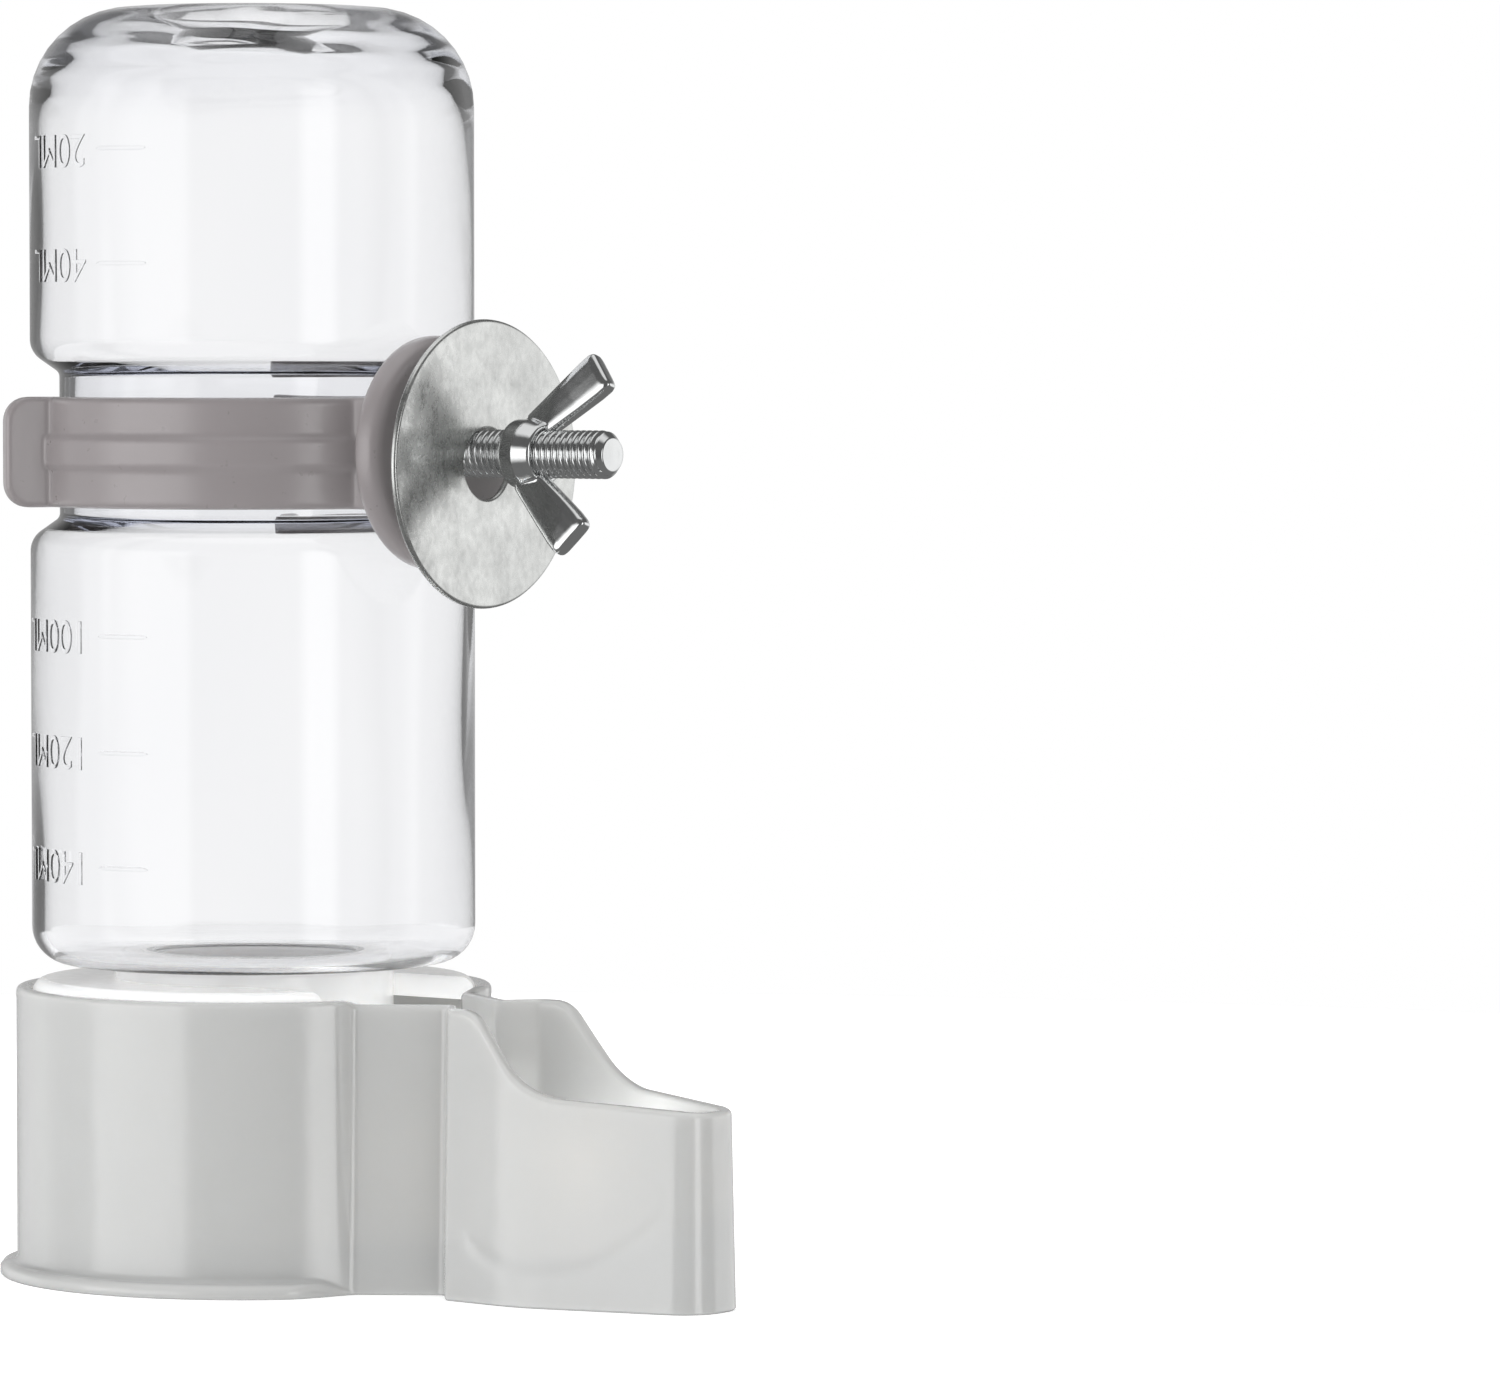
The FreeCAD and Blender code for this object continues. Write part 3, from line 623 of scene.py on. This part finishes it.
def base_section(spot):
    """Section of the base's wall at one place of its plan: inset and height pairs, from below."""
    reach, side = spot
    on_drum = abs(math.hypot(reach, side) - DRUM_RADIUS) < 0.05
    # Degrees round the drum past its junction with the throat, over which the flange grows.
    past = math.degrees(math.atan2(abs(side), reach)) - JUNCTION_TURN if on_drum else -1.0
    top = height_on(LIP, reach) + (RIM_STEP * ease((past + 1) / 5) if on_drum else 0.0)
    floor = height_on(SCOOP, reach)
    lean = DRAFT * (1 - ease(past / 4))
    foot = FLANGE_REACH * ease(past / 16) if on_drum else 0.0
    thick = FLANGE_THICK * (0.25 + 0.75 * ease(past / 10))
    section = [
        (WALL, floor - WALL),
        (WALL, 0.15),
        (WALL - 0.2, 0.0),
        (0.2 - foot, 0.0),
        (-foot, 0.2),
        (-foot, thick * 0.6),
        (-foot * 0.8, thick * 0.9),
        (-foot * 0.35, thick),
        (-foot * 0.12, thick * 1.08),
        (lean * thick * 1.4, thick * 1.4),
    ]
    wall_start = thick * 1.4
    wall_end = top - RIM_ROUND
    levels = [wall_start + 0.25, *np.linspace(wall_start + 0.7, CLOSE_ROWS_TO, 22),
              *np.linspace(CLOSE_ROWS_TO, wall_end - 0.8, 4)[1:], wall_end - 0.25, wall_end]
    section += [(lean * z + (0.0 if on_drum else sink(reach, z)), z) for z in levels]
    outer = lean * top
    for step in range(1, 5):
        turn = math.pi / 2 * step / 4
        section.append((outer + RIM_ROUND * (1 - math.cos(turn)),
                        top - RIM_ROUND * (1 - math.sin(turn))))
    for step in range(0, 5):
        turn = math.pi / 2 * step / 4
        section.append((outer + WALL - RIM_ROUND * (1 - math.sin(turn)),
                        top - RIM_ROUND * (1 - math.cos(turn))))
    section += [(WALL + lean * z, z) for z in np.linspace(top - RIM_ROUND, floor + 1.0, 7)[1:]]
    section.append((WALL + 0.3 + lean * floor, floor + 0.3))
    section.append((WALL + 1.0 + lean * floor, floor))
    return section


def make_base():
    """The base as one closed skin: wall sections round the plan, and floors above and below."""
    path, inward = whole_plan()
    sections = [base_section(spot) for spot in path]
    rings = []
    for row in range(len(sections[0])):
        ring = []
        for spot, normal, section in zip(path, inward, sections):
            inset, height = section[row]
            flat = spot + normal * inset
            ring.append((flat[0], flat[1], height))
        rings.append(ring)
    vertices, faces = loft(rings, closed_path=False)
    count = len(path)
    for start in (0, len(vertices) - count):
        for column in range(count // 2):
            near = (start + (count - column) % count, start + (count - column - 1) % count)
            faces.append((start + column, start + column + 1, near[1], near[0]))
    base = new_piece("fount_body", vertices, faces)
    tidy_mesh(base)
    return base


finish_piece(make_base(), "fount", "base_plastic", "fount_base")

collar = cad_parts["neck_collar"]
collar.data.materials.clear()
collar.data.materials.append(MATERIALS["deck_plastic"])


# ------------------------------------------------------------------------ clip

CLIP_INNER = WAIST_RADIUS + 0.2
CLIP_THICK = 2.0
CLIP_HALF = 5.8
CLIP_REACH = math.radians(124.5)
TAB_LENGTH = 4.6
TAB_THICK = 2.1
TAB_ROUND = 2.5
BOSS_RADIUS = 12.2
BOSS_FRONT = CLIP_HIGH[0]
BOSS_BACK = BOSS_FRONT - 3.0
BRIDGE_HALF = 8.5
BAND_STEPS = 144
RIB_RISE = 0.5
RIB_FOOT = 1.9
RIB_HALF = 1.3
# The web between band and pad: how far in it starts, and the channel left in it for the bolt.
WEB_ROOT = 0.93
WEB_INSET = 0.6
WEB_OVERLAP = 1.0
CHANNEL_HALF = 2.9
CLIP_BORE = BOLT_RADIUS + 0.1
# The tab's rings: distance from its back face, and how far its rounded edge draws in there.
TAB_RINGS = ((0.0, 0.4), (0.12, 0.12), (0.4, 0.0), (TAB_THICK - 0.4, 0.0), (TAB_THICK - 0.12, 0.12),
             (TAB_THICK, 0.4))


def band_section():
    """Section of the band as pairs of radius and height, with its rib and soft edges."""
    outer = CLIP_INNER + CLIP_THICK
    corners = [(CLIP_INNER + 1.0, -CLIP_HALF), (outer, -CLIP_HALF), (outer, -RIB_FOOT),
               (outer + RIB_RISE, -RIB_HALF), (outer + RIB_RISE, RIB_HALF), (outer, RIB_FOOT),
               (outer, CLIP_HALF), (CLIP_INNER, CLIP_HALF), (CLIP_INNER, -CLIP_HALF),
               (CLIP_INNER + 1.0, -CLIP_HALF)]
    return rounded_path(corners, [0.6, 0.5, 0.5, 0.5, 0.5, 0.6, 0.35, 0.35], steps=3)[:-1]


def make_band():
    """The arc of the clip between its tabs."""
    section = band_section()
    rings = []
    for step in range(BAND_STEPS + 1):
        turn = -CLIP_REACH + 2 * CLIP_REACH * step / BAND_STEPS
        rings.append([(r * math.cos(turn), r * math.sin(turn), BOLT_LEVEL + z) for r, z in section])
    vertices, faces = loft(rings, closed_path=False, caps=True)
    piece = new_piece("band", vertices, faces)
    tidy_mesh(piece)
    return piece


def make_tab(side):
    """The flat tab that stands out at the end of one arm, with rounded corners."""
    start = CLIP_INNER + 0.5
    end = CLIP_INNER + CLIP_THICK + TAB_LENGTH
    corners = [(start, 0), (start, -CLIP_HALF), (end, -CLIP_HALF), (end, CLIP_HALF),
               (start, CLIP_HALF), (start, 0)]
    outline = rounded_path(corners, [0.0, TAB_ROUND, TAB_ROUND, 0.0], steps=6)[:-1]
    rings = []
    middle = np.array((start + 1.5, 0.0))
    for back, shrink in TAB_RINGS:
        ring = []
        for reach, level in outline:
            away = np.array((reach, level)) - middle
            away *= 1 - shrink / max(np.linalg.norm(away), 1.0)
            reach, level = middle + away
            x = reach * math.cos(CLIP_REACH) + back * math.sin(CLIP_REACH)
            y = side * (reach * math.sin(CLIP_REACH) - back * math.cos(CLIP_REACH))
            ring.append((x, y, BOLT_LEVEL + level))
        rings.append(ring)
    vertices, faces = loft(rings, closed_path=False, caps=True)
    piece = new_piece("tab", vertices, faces)
    tidy_mesh(piece)
    return piece


def web_block(start, y_range, z_range):
    """One block of the web, from start into the pad, used only as raw stock for fusing."""
    corners = [(x, y, BOLT_LEVEL + z) for x in (start, BOSS_BACK + WEB_OVERLAP) for y in y_range
               for z in z_range]
    faces = [(0, 1, 3, 2), (4, 6, 7, 5), (0, 4, 5, 1), (2, 3, 7, 6), (0, 2, 6, 4), (1, 5, 7, 3)]
    piece = new_piece("web", corners, faces)
    tidy_mesh(piece)
    return piece


def make_clip():
    """The spring clip, fused from its band, tabs, clamp pad and web, with the bolt's hole."""
    pad_section = rounded_path([(CLIP_BORE, BOSS_BACK), (BOSS_RADIUS, BOSS_BACK),
                                (BOSS_RADIUS, BOSS_FRONT), (CLIP_BORE, BOSS_FRONT),
                                (CLIP_BORE, BOSS_BACK)], [0.7, 1.5, 0.2], steps=6)[:-1]
    parts = [make_band(), make_tab(1), make_tab(-1), turned("pad", pad_section, level=BOLT_LEVEL)]
    for y_range in ((CHANNEL_HALF, BRIDGE_HALF), (-BRIDGE_HALF, -CHANNEL_HALF)):
        parts.append(web_block(CLIP_INNER * WEB_ROOT, y_range, (-CLIP_HALF, CLIP_HALF)))
    for z_range in ((CHANNEL_HALF, CLIP_HALF), (-CLIP_HALF, -CHANNEL_HALF)):
        parts.append(web_block(CLIP_INNER + WEB_INSET, (-BRIDGE_HALF, BRIDGE_HALF), z_range))
    clip = melt(join("clip_body", parts), voxel=0.24, passes=5)
    # Nothing may stand nearer to the bottle than the inside of the band.
    for vertex in clip.data.vertices:
        x, y, z = vertex.co / MM
        radius = math.hypot(x, y)
        if radius < CLIP_INNER:
            vertex.co.x *= CLIP_INNER / radius
            vertex.co.y *= CLIP_INNER / radius
    return clip


finish_piece(make_clip(), "clip", "clip_plastic", "mounting_clip")


# -------------------------------------------------------- bolt, washer and nut

THREAD_PITCH = 0.8
THREAD_DEPTH = 0.44
SHANK_SEGMENTS = 56
ROWS_PER_TURN = 9
# Rings that close the shank's slightly dished tip: distance in from the edge, and depth.
TIP_DISH = ((0.95, 0.0), (1.4, 0.06), (2.2, 0.12))
HEAD_THICK = 3.2
HEAD_RADIUS = 4.6
HEAD_CHAMFER = 0.35
HEAD_OVERLAP = 0.3


def thread_radius(along, turn, tip):
    """Radius of the thread at a place along the bolt, with its chamfered tip."""
    phase = (along / THREAD_PITCH - turn / (2 * math.pi)) % 1.0
    ridge = abs(phase - 0.5) * 2
    groove = np.clip((ridge - 0.16) / 0.7, 0, 1)
    radius = BOLT_RADIUS - THREAD_DEPTH * (groove * groove * (3 - 2 * groove))
    return min(radius, BOLT_RADIUS - 0.75 + (tip - along) * 0.9)


def ring_round_bolt(along, segments, radius_at):
    """A ring of points round the bolt's axis, whose radius is a function of the turn."""
    ring = []
    for segment in range(segments):
        turn = 2 * math.pi * segment / segments
        radius = radius_at(turn)
        ring.append((along, radius * math.cos(turn), BOLT_LEVEL + radius * math.sin(turn)))
    return ring


def make_bolt():
    """The bolt: a hexagon head and a shank with a real helical thread."""
    start = BOLT_LOW[0] + HEAD_THICK
    tip = BOLT_HIGH[0]
    steps = int((tip - start) / (THREAD_PITCH / ROWS_PER_TURN))
    rings = []
    for step in range(steps + 1):
        along = start - HEAD_OVERLAP + (tip - start + HEAD_OVERLAP) * step / steps
        rings.append(ring_round_bolt(along, SHANK_SEGMENTS, lambda turn: thread_radius(along, turn, tip)))
    for inset, dip in TIP_DISH:
        rings.append(ring_round_bolt(tip - dip, SHANK_SEGMENTS, lambda turn: BOLT_RADIUS - inset))
    vertices, faces = loft(rings, closed_path=False, caps=True)
    shank = new_piece("shank", vertices, faces)
    tidy_mesh(shank)
    rings = []
    for back, shrink in ((0.0, HEAD_CHAMFER), (HEAD_CHAMFER, 0.0), (HEAD_THICK, 0.0)):
        rings.append(ring_round_bolt(BOLT_LOW[0] + back, 6, lambda turn: HEAD_RADIUS - shrink))
    vertices, faces = loft(rings, closed_path=False, caps=True)
    head = new_piece("head", vertices, faces, smooth=False)
    tidy_mesh(head)
    return join("bolt_body", [shank, head])


WASHER_HOLE = 3.7


def make_washer():
    """The penny washer: a stamped disc with its edges a little rounded by the punch."""
    level = (WASHER_LOW[2] + WASHER_HIGH[2]) / 2
    radius = (WASHER_HIGH[2] - WASHER_LOW[2]) / 2
    back, front = WASHER_LOW[0], WASHER_HIGH[0]
    section = rounded_path([(WASHER_HOLE + 1, back), (radius, back), (radius, front),
                            (WASHER_HOLE, front), (WASHER_HOLE, back), (WASHER_HOLE + 1, back)],
                           [0.12, 0.35, 0.3, 0.12], steps=4, longest=2.0)[:-1]
    return turned("washer_body", section, segments=160, level=level)


NUT_TURN = math.radians(-16.6)
NUT_BORE = BOLT_RADIUS + 0.08
HUB_FOOT = 3.6
HUB_NOSE = 3.1
HUB_LENGTH = 3.8
WING_ROOT = 2.7
WING_REACH = 9.1
WING_HEIGHT = 9.4
WING_WIDTH = 4.8
WING_THICK = 2.0
WING_SEGMENTS = 24
# Rings of a wing: share of its length, and its width and thickness there as shares.
WING_RINGS = ((0.0, 0.70, 0.95), (0.25, 0.80, 0.92), (0.55, 0.92, 0.92), (0.8, 1.0, 0.98),
              (0.93, 1.0, 1.0), (0.985, 0.93, 0.86), (1.0, 0.80, 0.62))


def make_wing(side):
    """One wing, leaning forward, with a boxy section that widens towards its tip."""
    foot = np.array((HUB_LENGTH * 0.5, WING_ROOT))
    tip = np.array((WING_HEIGHT, WING_REACH))
    length = np.linalg.norm(tip - foot)
    along = (tip - foot) / length
    across = np.array((-along[1], along[0]))
    rings = []
    for share, wide, thick in WING_RINGS:
        middle = foot + along * length * share
        ring = []
        for step in range(WING_SEGMENTS):
            turn = 2 * math.pi * step / WING_SEGMENTS
            c, s = math.cos(turn), math.sin(turn)
            flat = abs(c) ** 0.42 * math.copysign(1, c) * WING_WIDTH / 2 * wide
            out = abs(s) ** 0.5 * math.copysign(1, s) * WING_THICK / 2 * thick
            spot = middle + across * flat
            ring.append((spot[0], out, side * spot[1]))
        rings.append(ring)
    vertices, faces = loft(rings, closed_path=False, caps=True)
    piece = new_piece("wing", vertices, faces)
    tidy_mesh(piece)
    return piece


def make_nut():
    """The cast wing nut: hub and wings fused, then turned as it stands on the bolt."""
    hub_section = rounded_path([(NUT_BORE, 0.0), (HUB_FOOT, 0.0), (HUB_FOOT, HUB_LENGTH * 0.5),
                                (HUB_NOSE, HUB_LENGTH), (NUT_BORE, HUB_LENGTH), (NUT_BORE, 0.0)],
                               [0.3, 0.5, 0.35, 0.1], steps=4)[:-1]
    hub = turned("hub", hub_section, segments=96)
    nut = melt(join("nut_body", [hub, make_wing(1), make_wing(-1)]), voxel=0.13, passes=4)
    place = Matrix.Translation(Vector((NUT_LOW[0], 0, BOLT_LEVEL)) * MM)
    nut.data.transform(place @ Matrix.Rotation(NUT_TURN, 4, "X"))
    return nut


finish_piece(make_bolt(), "clip", "bolt_steel", "clamp_bolt")
finish_piece(make_washer(), "washer", "washer_steel", "clamp_washer")
finish_piece(make_nut(), "nut", "nut_steel", "wing_nut")


# ---------------------------------------------------- floor, lights and camera

CAMERA_AZIMUTH = math.radians(37.0)
CAMERA_DISTANCE = 850.0
CAMERA_HEIGHT = 99.4
AIM_BESIDE = 52.7
AIM_HEIGHT = 61.4
LENS = 192.4

FLOOR_RADIUS = 360.0
FLOOR_CORNERS = 96
FLOOR_WHITE = 0.9
FLOOR_GLOW = 0.38
FLOOR_WHITE_THROUGH = 0.7

# Light that has crossed more surfaces than this has passed through both walls of the bottle.
BOTH_WALLS = 3.5


def make_floor():
    """A round pale floor, no brighter through the bottle than the studio is."""
    turns = [2 * math.pi * corner / FLOOR_CORNERS for corner in range(FLOOR_CORNERS)]
    corners = [(FLOOR_RADIUS * math.cos(turn), FLOOR_RADIUS * math.sin(turn), 0) for turn in turns]
    floor = new_piece("floor", corners, [tuple(range(FLOOR_CORNERS))])
    material, nodes, links, shader = new_material("floor")
    shader.inputs["Roughness"].default_value = 0.7
    shader.inputs["Emission Strength"].default_value = 1.0
    path = nodes.new("ShaderNodeLightPath")
    behind_bottle = more_than(nodes, links, path.outputs["Transmission Depth"], BOTH_WALLS)
    white = blend_colours(nodes, links, behind_bottle, FLOOR_WHITE, FLOOR_WHITE_THROUGH)
    glow_colour = blend_colours(nodes, links, behind_bottle, FLOOR_GLOW, 0.0)
    links.new(white, shader.inputs["Base Color"])
    links.new(glow_colour, shader.inputs["Emission Color"])
    floor.data.materials.append(material)
    floor.visible_glossy = False


# Brightness of the studio's walls as reflections see them, by direction in degrees from the front
# view towards its right: a wide soft panel at the left, a narrow one at the right, dark flags between.
STUDIO = [(-180, 0.4), (-160, 0.5), (-120, 0.8), (-104, 0.5), (-84, 0.5), (-77, 1.7), (-32, 1.6),
          (-27, 0.12), (26, 0.10), (32, 2.3), (44, 2.3), (50, 0.08), (84, 0.12), (94, 1.15),
          (150, 0.8), (165, 0.4), (180, 0.4)]
# The same as the edges of the bottle see it, where light crosses one wall only.
THROUGH_EDGE = [(-180, 1.0), (-170, 1.0), (-163, 0.12), (-105, 0.12), (-98, 1.0), (-82, 1.0),
                (-75, 0.12), (-60, 1.3), (60, 1.3), (75, 0.12), (82, 1.0), (98, 1.0), (105, 0.12),
                (163, 0.12), (170, 1.0), (180, 1.0)]
# The same through both walls of the bottle, on dull surfaces and straight to the camera.
THROUGH_BOTTLE = 0.98
ON_DULL_SURFACES = 0.85
STRAIGHT_TO_CAMERA = 1.0
BELOW_HORIZON = 0.18
BRIGHTEST = 4.0


def panels_by_direction(nodes, links, share, panels):
    """Brightness by direction, as a share of BRIGHTEST."""
    stops = [((degrees + 180) / 360, (value / BRIGHTEST,) * 3) for degrees, value in panels]
    return ramp(nodes, links, share, stops)


def blend_colours(nodes, links, amount, first, second):
    """Mixes two colours, each a grey level or an output, by an amount that is an output."""
    made = node(nodes, "ShaderNodeMix", data_type="RGBA")
    links.new(amount, made.inputs["Factor"])
    for place, colour in ((6, first), (7, second)):
        if isinstance(colour, float):
            made.inputs[place].default_value = (colour, colour, colour, 1.0)
        else:
            links.new(colour, made.inputs[place])
    return made.outputs[2]


def more_than(nodes, links, source, limit):
    """1 where source is above a limit, otherwise 0."""
    made = node(nodes, "ShaderNodeMath", operation="GREATER_THAN")
    links.new(source, made.inputs[0])
    made.inputs[1].default_value = limit
    return made.outputs[0]


def make_world():
    """A white studio, with its brightness set apart for each way that light reaches it."""
    world = bpy.data.worlds.new("studio")
    bpy.context.scene.world = world
    world.use_nodes = True
    nodes = world.node_tree.nodes
    links = world.node_tree.links
    background = nodes["Background"]
    spot = nodes.new("ShaderNodeTexCoord")
    turn_about = nodes.new("ShaderNodeMapping")
    turn_about.vector_type = "POINT"
    turn_about.inputs["Rotation"].default_value = (0, 0, math.pi / 2 - CAMERA_AZIMUTH)
    parts = nodes.new("ShaderNodeSeparateXYZ")
    links.new(spot.outputs["Generated"], turn_about.inputs["Vector"])
    links.new(turn_about.outputs["Vector"], parts.inputs["Vector"])
    angle = node(nodes, "ShaderNodeMath", operation="ARCTAN2")
    links.new(parts.outputs["Y"], angle.inputs[0])
    links.new(parts.outputs["X"], angle.inputs[1])
    share = nodes.new("ShaderNodeMapRange")
    share.inputs["From Min"].default_value = -math.pi
    share.inputs["From Max"].default_value = math.pi
    links.new(angle.outputs[0], share.inputs["Value"])
    height = parts.outputs["Z"]
    raised = ramp(nodes, links, height, [(0.22, (0, 0, 0)), (0.42, (1, 1, 1))])
    low = nodes.new("ShaderNodeMapRange")
    low.inputs["From Min"].default_value = -0.15
    low.inputs["From Max"].default_value = -0.45
    links.new(height, low.inputs["Value"])
    walls = panels_by_direction(nodes, links, share.outputs["Result"], STUDIO)
    ceiling = ramp(nodes, links, height, [(0.6, (0.03,) * 3), (0.8, (0.03,) * 3), (0.9, (0.22,) * 3)])
    seen = blend_colours(nodes, links, raised, walls, ceiling)
    seen = blend_colours(nodes, links, low.outputs["Result"], seen, BELOW_HORIZON / BRIGHTEST)
    edge = panels_by_direction(nodes, links, share.outputs["Result"], THROUGH_EDGE)
    path = nodes.new("ShaderNodeLightPath")
    surfaces = path.outputs["Transmission Depth"]
    through = blend_colours(nodes, links, more_than(nodes, links, surfaces, BOTH_WALLS), edge,
                            THROUGH_BOTTLE / BRIGHTEST)
    light = blend_colours(nodes, links, path.outputs["Is Glossy Ray"], ON_DULL_SURFACES / BRIGHTEST,
                          seen)
    light = blend_colours(nodes, links, more_than(nodes, links, surfaces, 0.5), light, through)
    light = blend_colours(nodes, links, path.outputs["Is Camera Ray"], light,
                          STRAIGHT_TO_CAMERA / BRIGHTEST)
    links.new(light, background.inputs["Color"])
    background.inputs["Strength"].default_value = BRIGHTEST


def area(name, place, aim, size, power):
    """A soft rectangular light at place, turned towards aim; sizes in millimetres."""
    light = bpy.data.lights.new(name, "AREA")
    light.shape = "RECTANGLE"
    light.size = size[0] * MM
    light.size_y = size[1] * MM
    light.energy = power
    lamp = bpy.data.objects.new(name, light)
    lamp.location = Vector(place) * MM
    lamp.rotation_euler = (Vector(aim) - Vector(place)).to_track_quat("-Z", "Y").to_euler()
    lamp.visible_glossy = False
    lamp.visible_transmission = False
    bpy.context.scene.collection.objects.link(lamp)


def glow(name, place, power):
    """The light that soaks through the thin walls into a space inside the base."""
    light = bpy.data.lights.new(name, "POINT")
    light.shadow_soft_size = 3.0 * MM
    light.energy = power
    lamp = bpy.data.objects.new(name, light)
    lamp.location = Vector(place) * MM
    lamp.visible_camera = False
    lamp.visible_glossy = False
    lamp.visible_transmission = False
    bpy.context.scene.collection.objects.link(lamp)


def make_camera():
    """A long lens, almost level, aimed beside the bottle."""
    back = np.array((math.sin(CAMERA_AZIMUTH), -math.cos(CAMERA_AZIMUTH), 0))
    right = np.array((math.cos(CAMERA_AZIMUTH), math.sin(CAMERA_AZIMUTH), 0))
    place = Vector(right * AIM_BESIDE + back * CAMERA_DISTANCE + (0, 0, CAMERA_HEIGHT))
    aim = Vector(right * AIM_BESIDE + (0, 0, AIM_HEIGHT))
    data = bpy.data.cameras.new("camera")
    data.sensor_width = 36.0
    data.lens = LENS
    data.clip_end = 100.0
    camera = bpy.data.objects.new("camera", data)
    camera.location = place * MM
    camera.rotation_euler = (aim - place).to_track_quat("-Z", "Y").to_euler()
    bpy.context.scene.collection.objects.link(camera)
    bpy.context.scene.camera = camera


def round_camera(degrees, distance, height):
    """A place at some degrees to the right of the camera, as seen from the object."""
    turn = CAMERA_AZIMUTH - math.pi / 2 + math.radians(degrees)
    return (distance * math.cos(turn), distance * math.sin(turn), height)


def make_lights():
    """A large soft key at the left, a soft light overhead and three glows inside the base."""
    aim = (10, 0, 60)
    area("key", round_camera(-52, 650, 260), aim, size=(480, 640), power=1.9)
    area("overhead", (-40, 60, 720), aim, size=(520, 520), power=2.0)
    glow("glow_in_neck", (0, 0, 20), 0.022)
    glow("glow_in_drum", (18, 0, 14), 0.006)
    glow("glow_in_trough", (48, 0, 15), 0.0055)


make_floor()
make_world()
make_lights()
make_camera()
bpy.context.scene.view_settings.view_transform = "Standard"
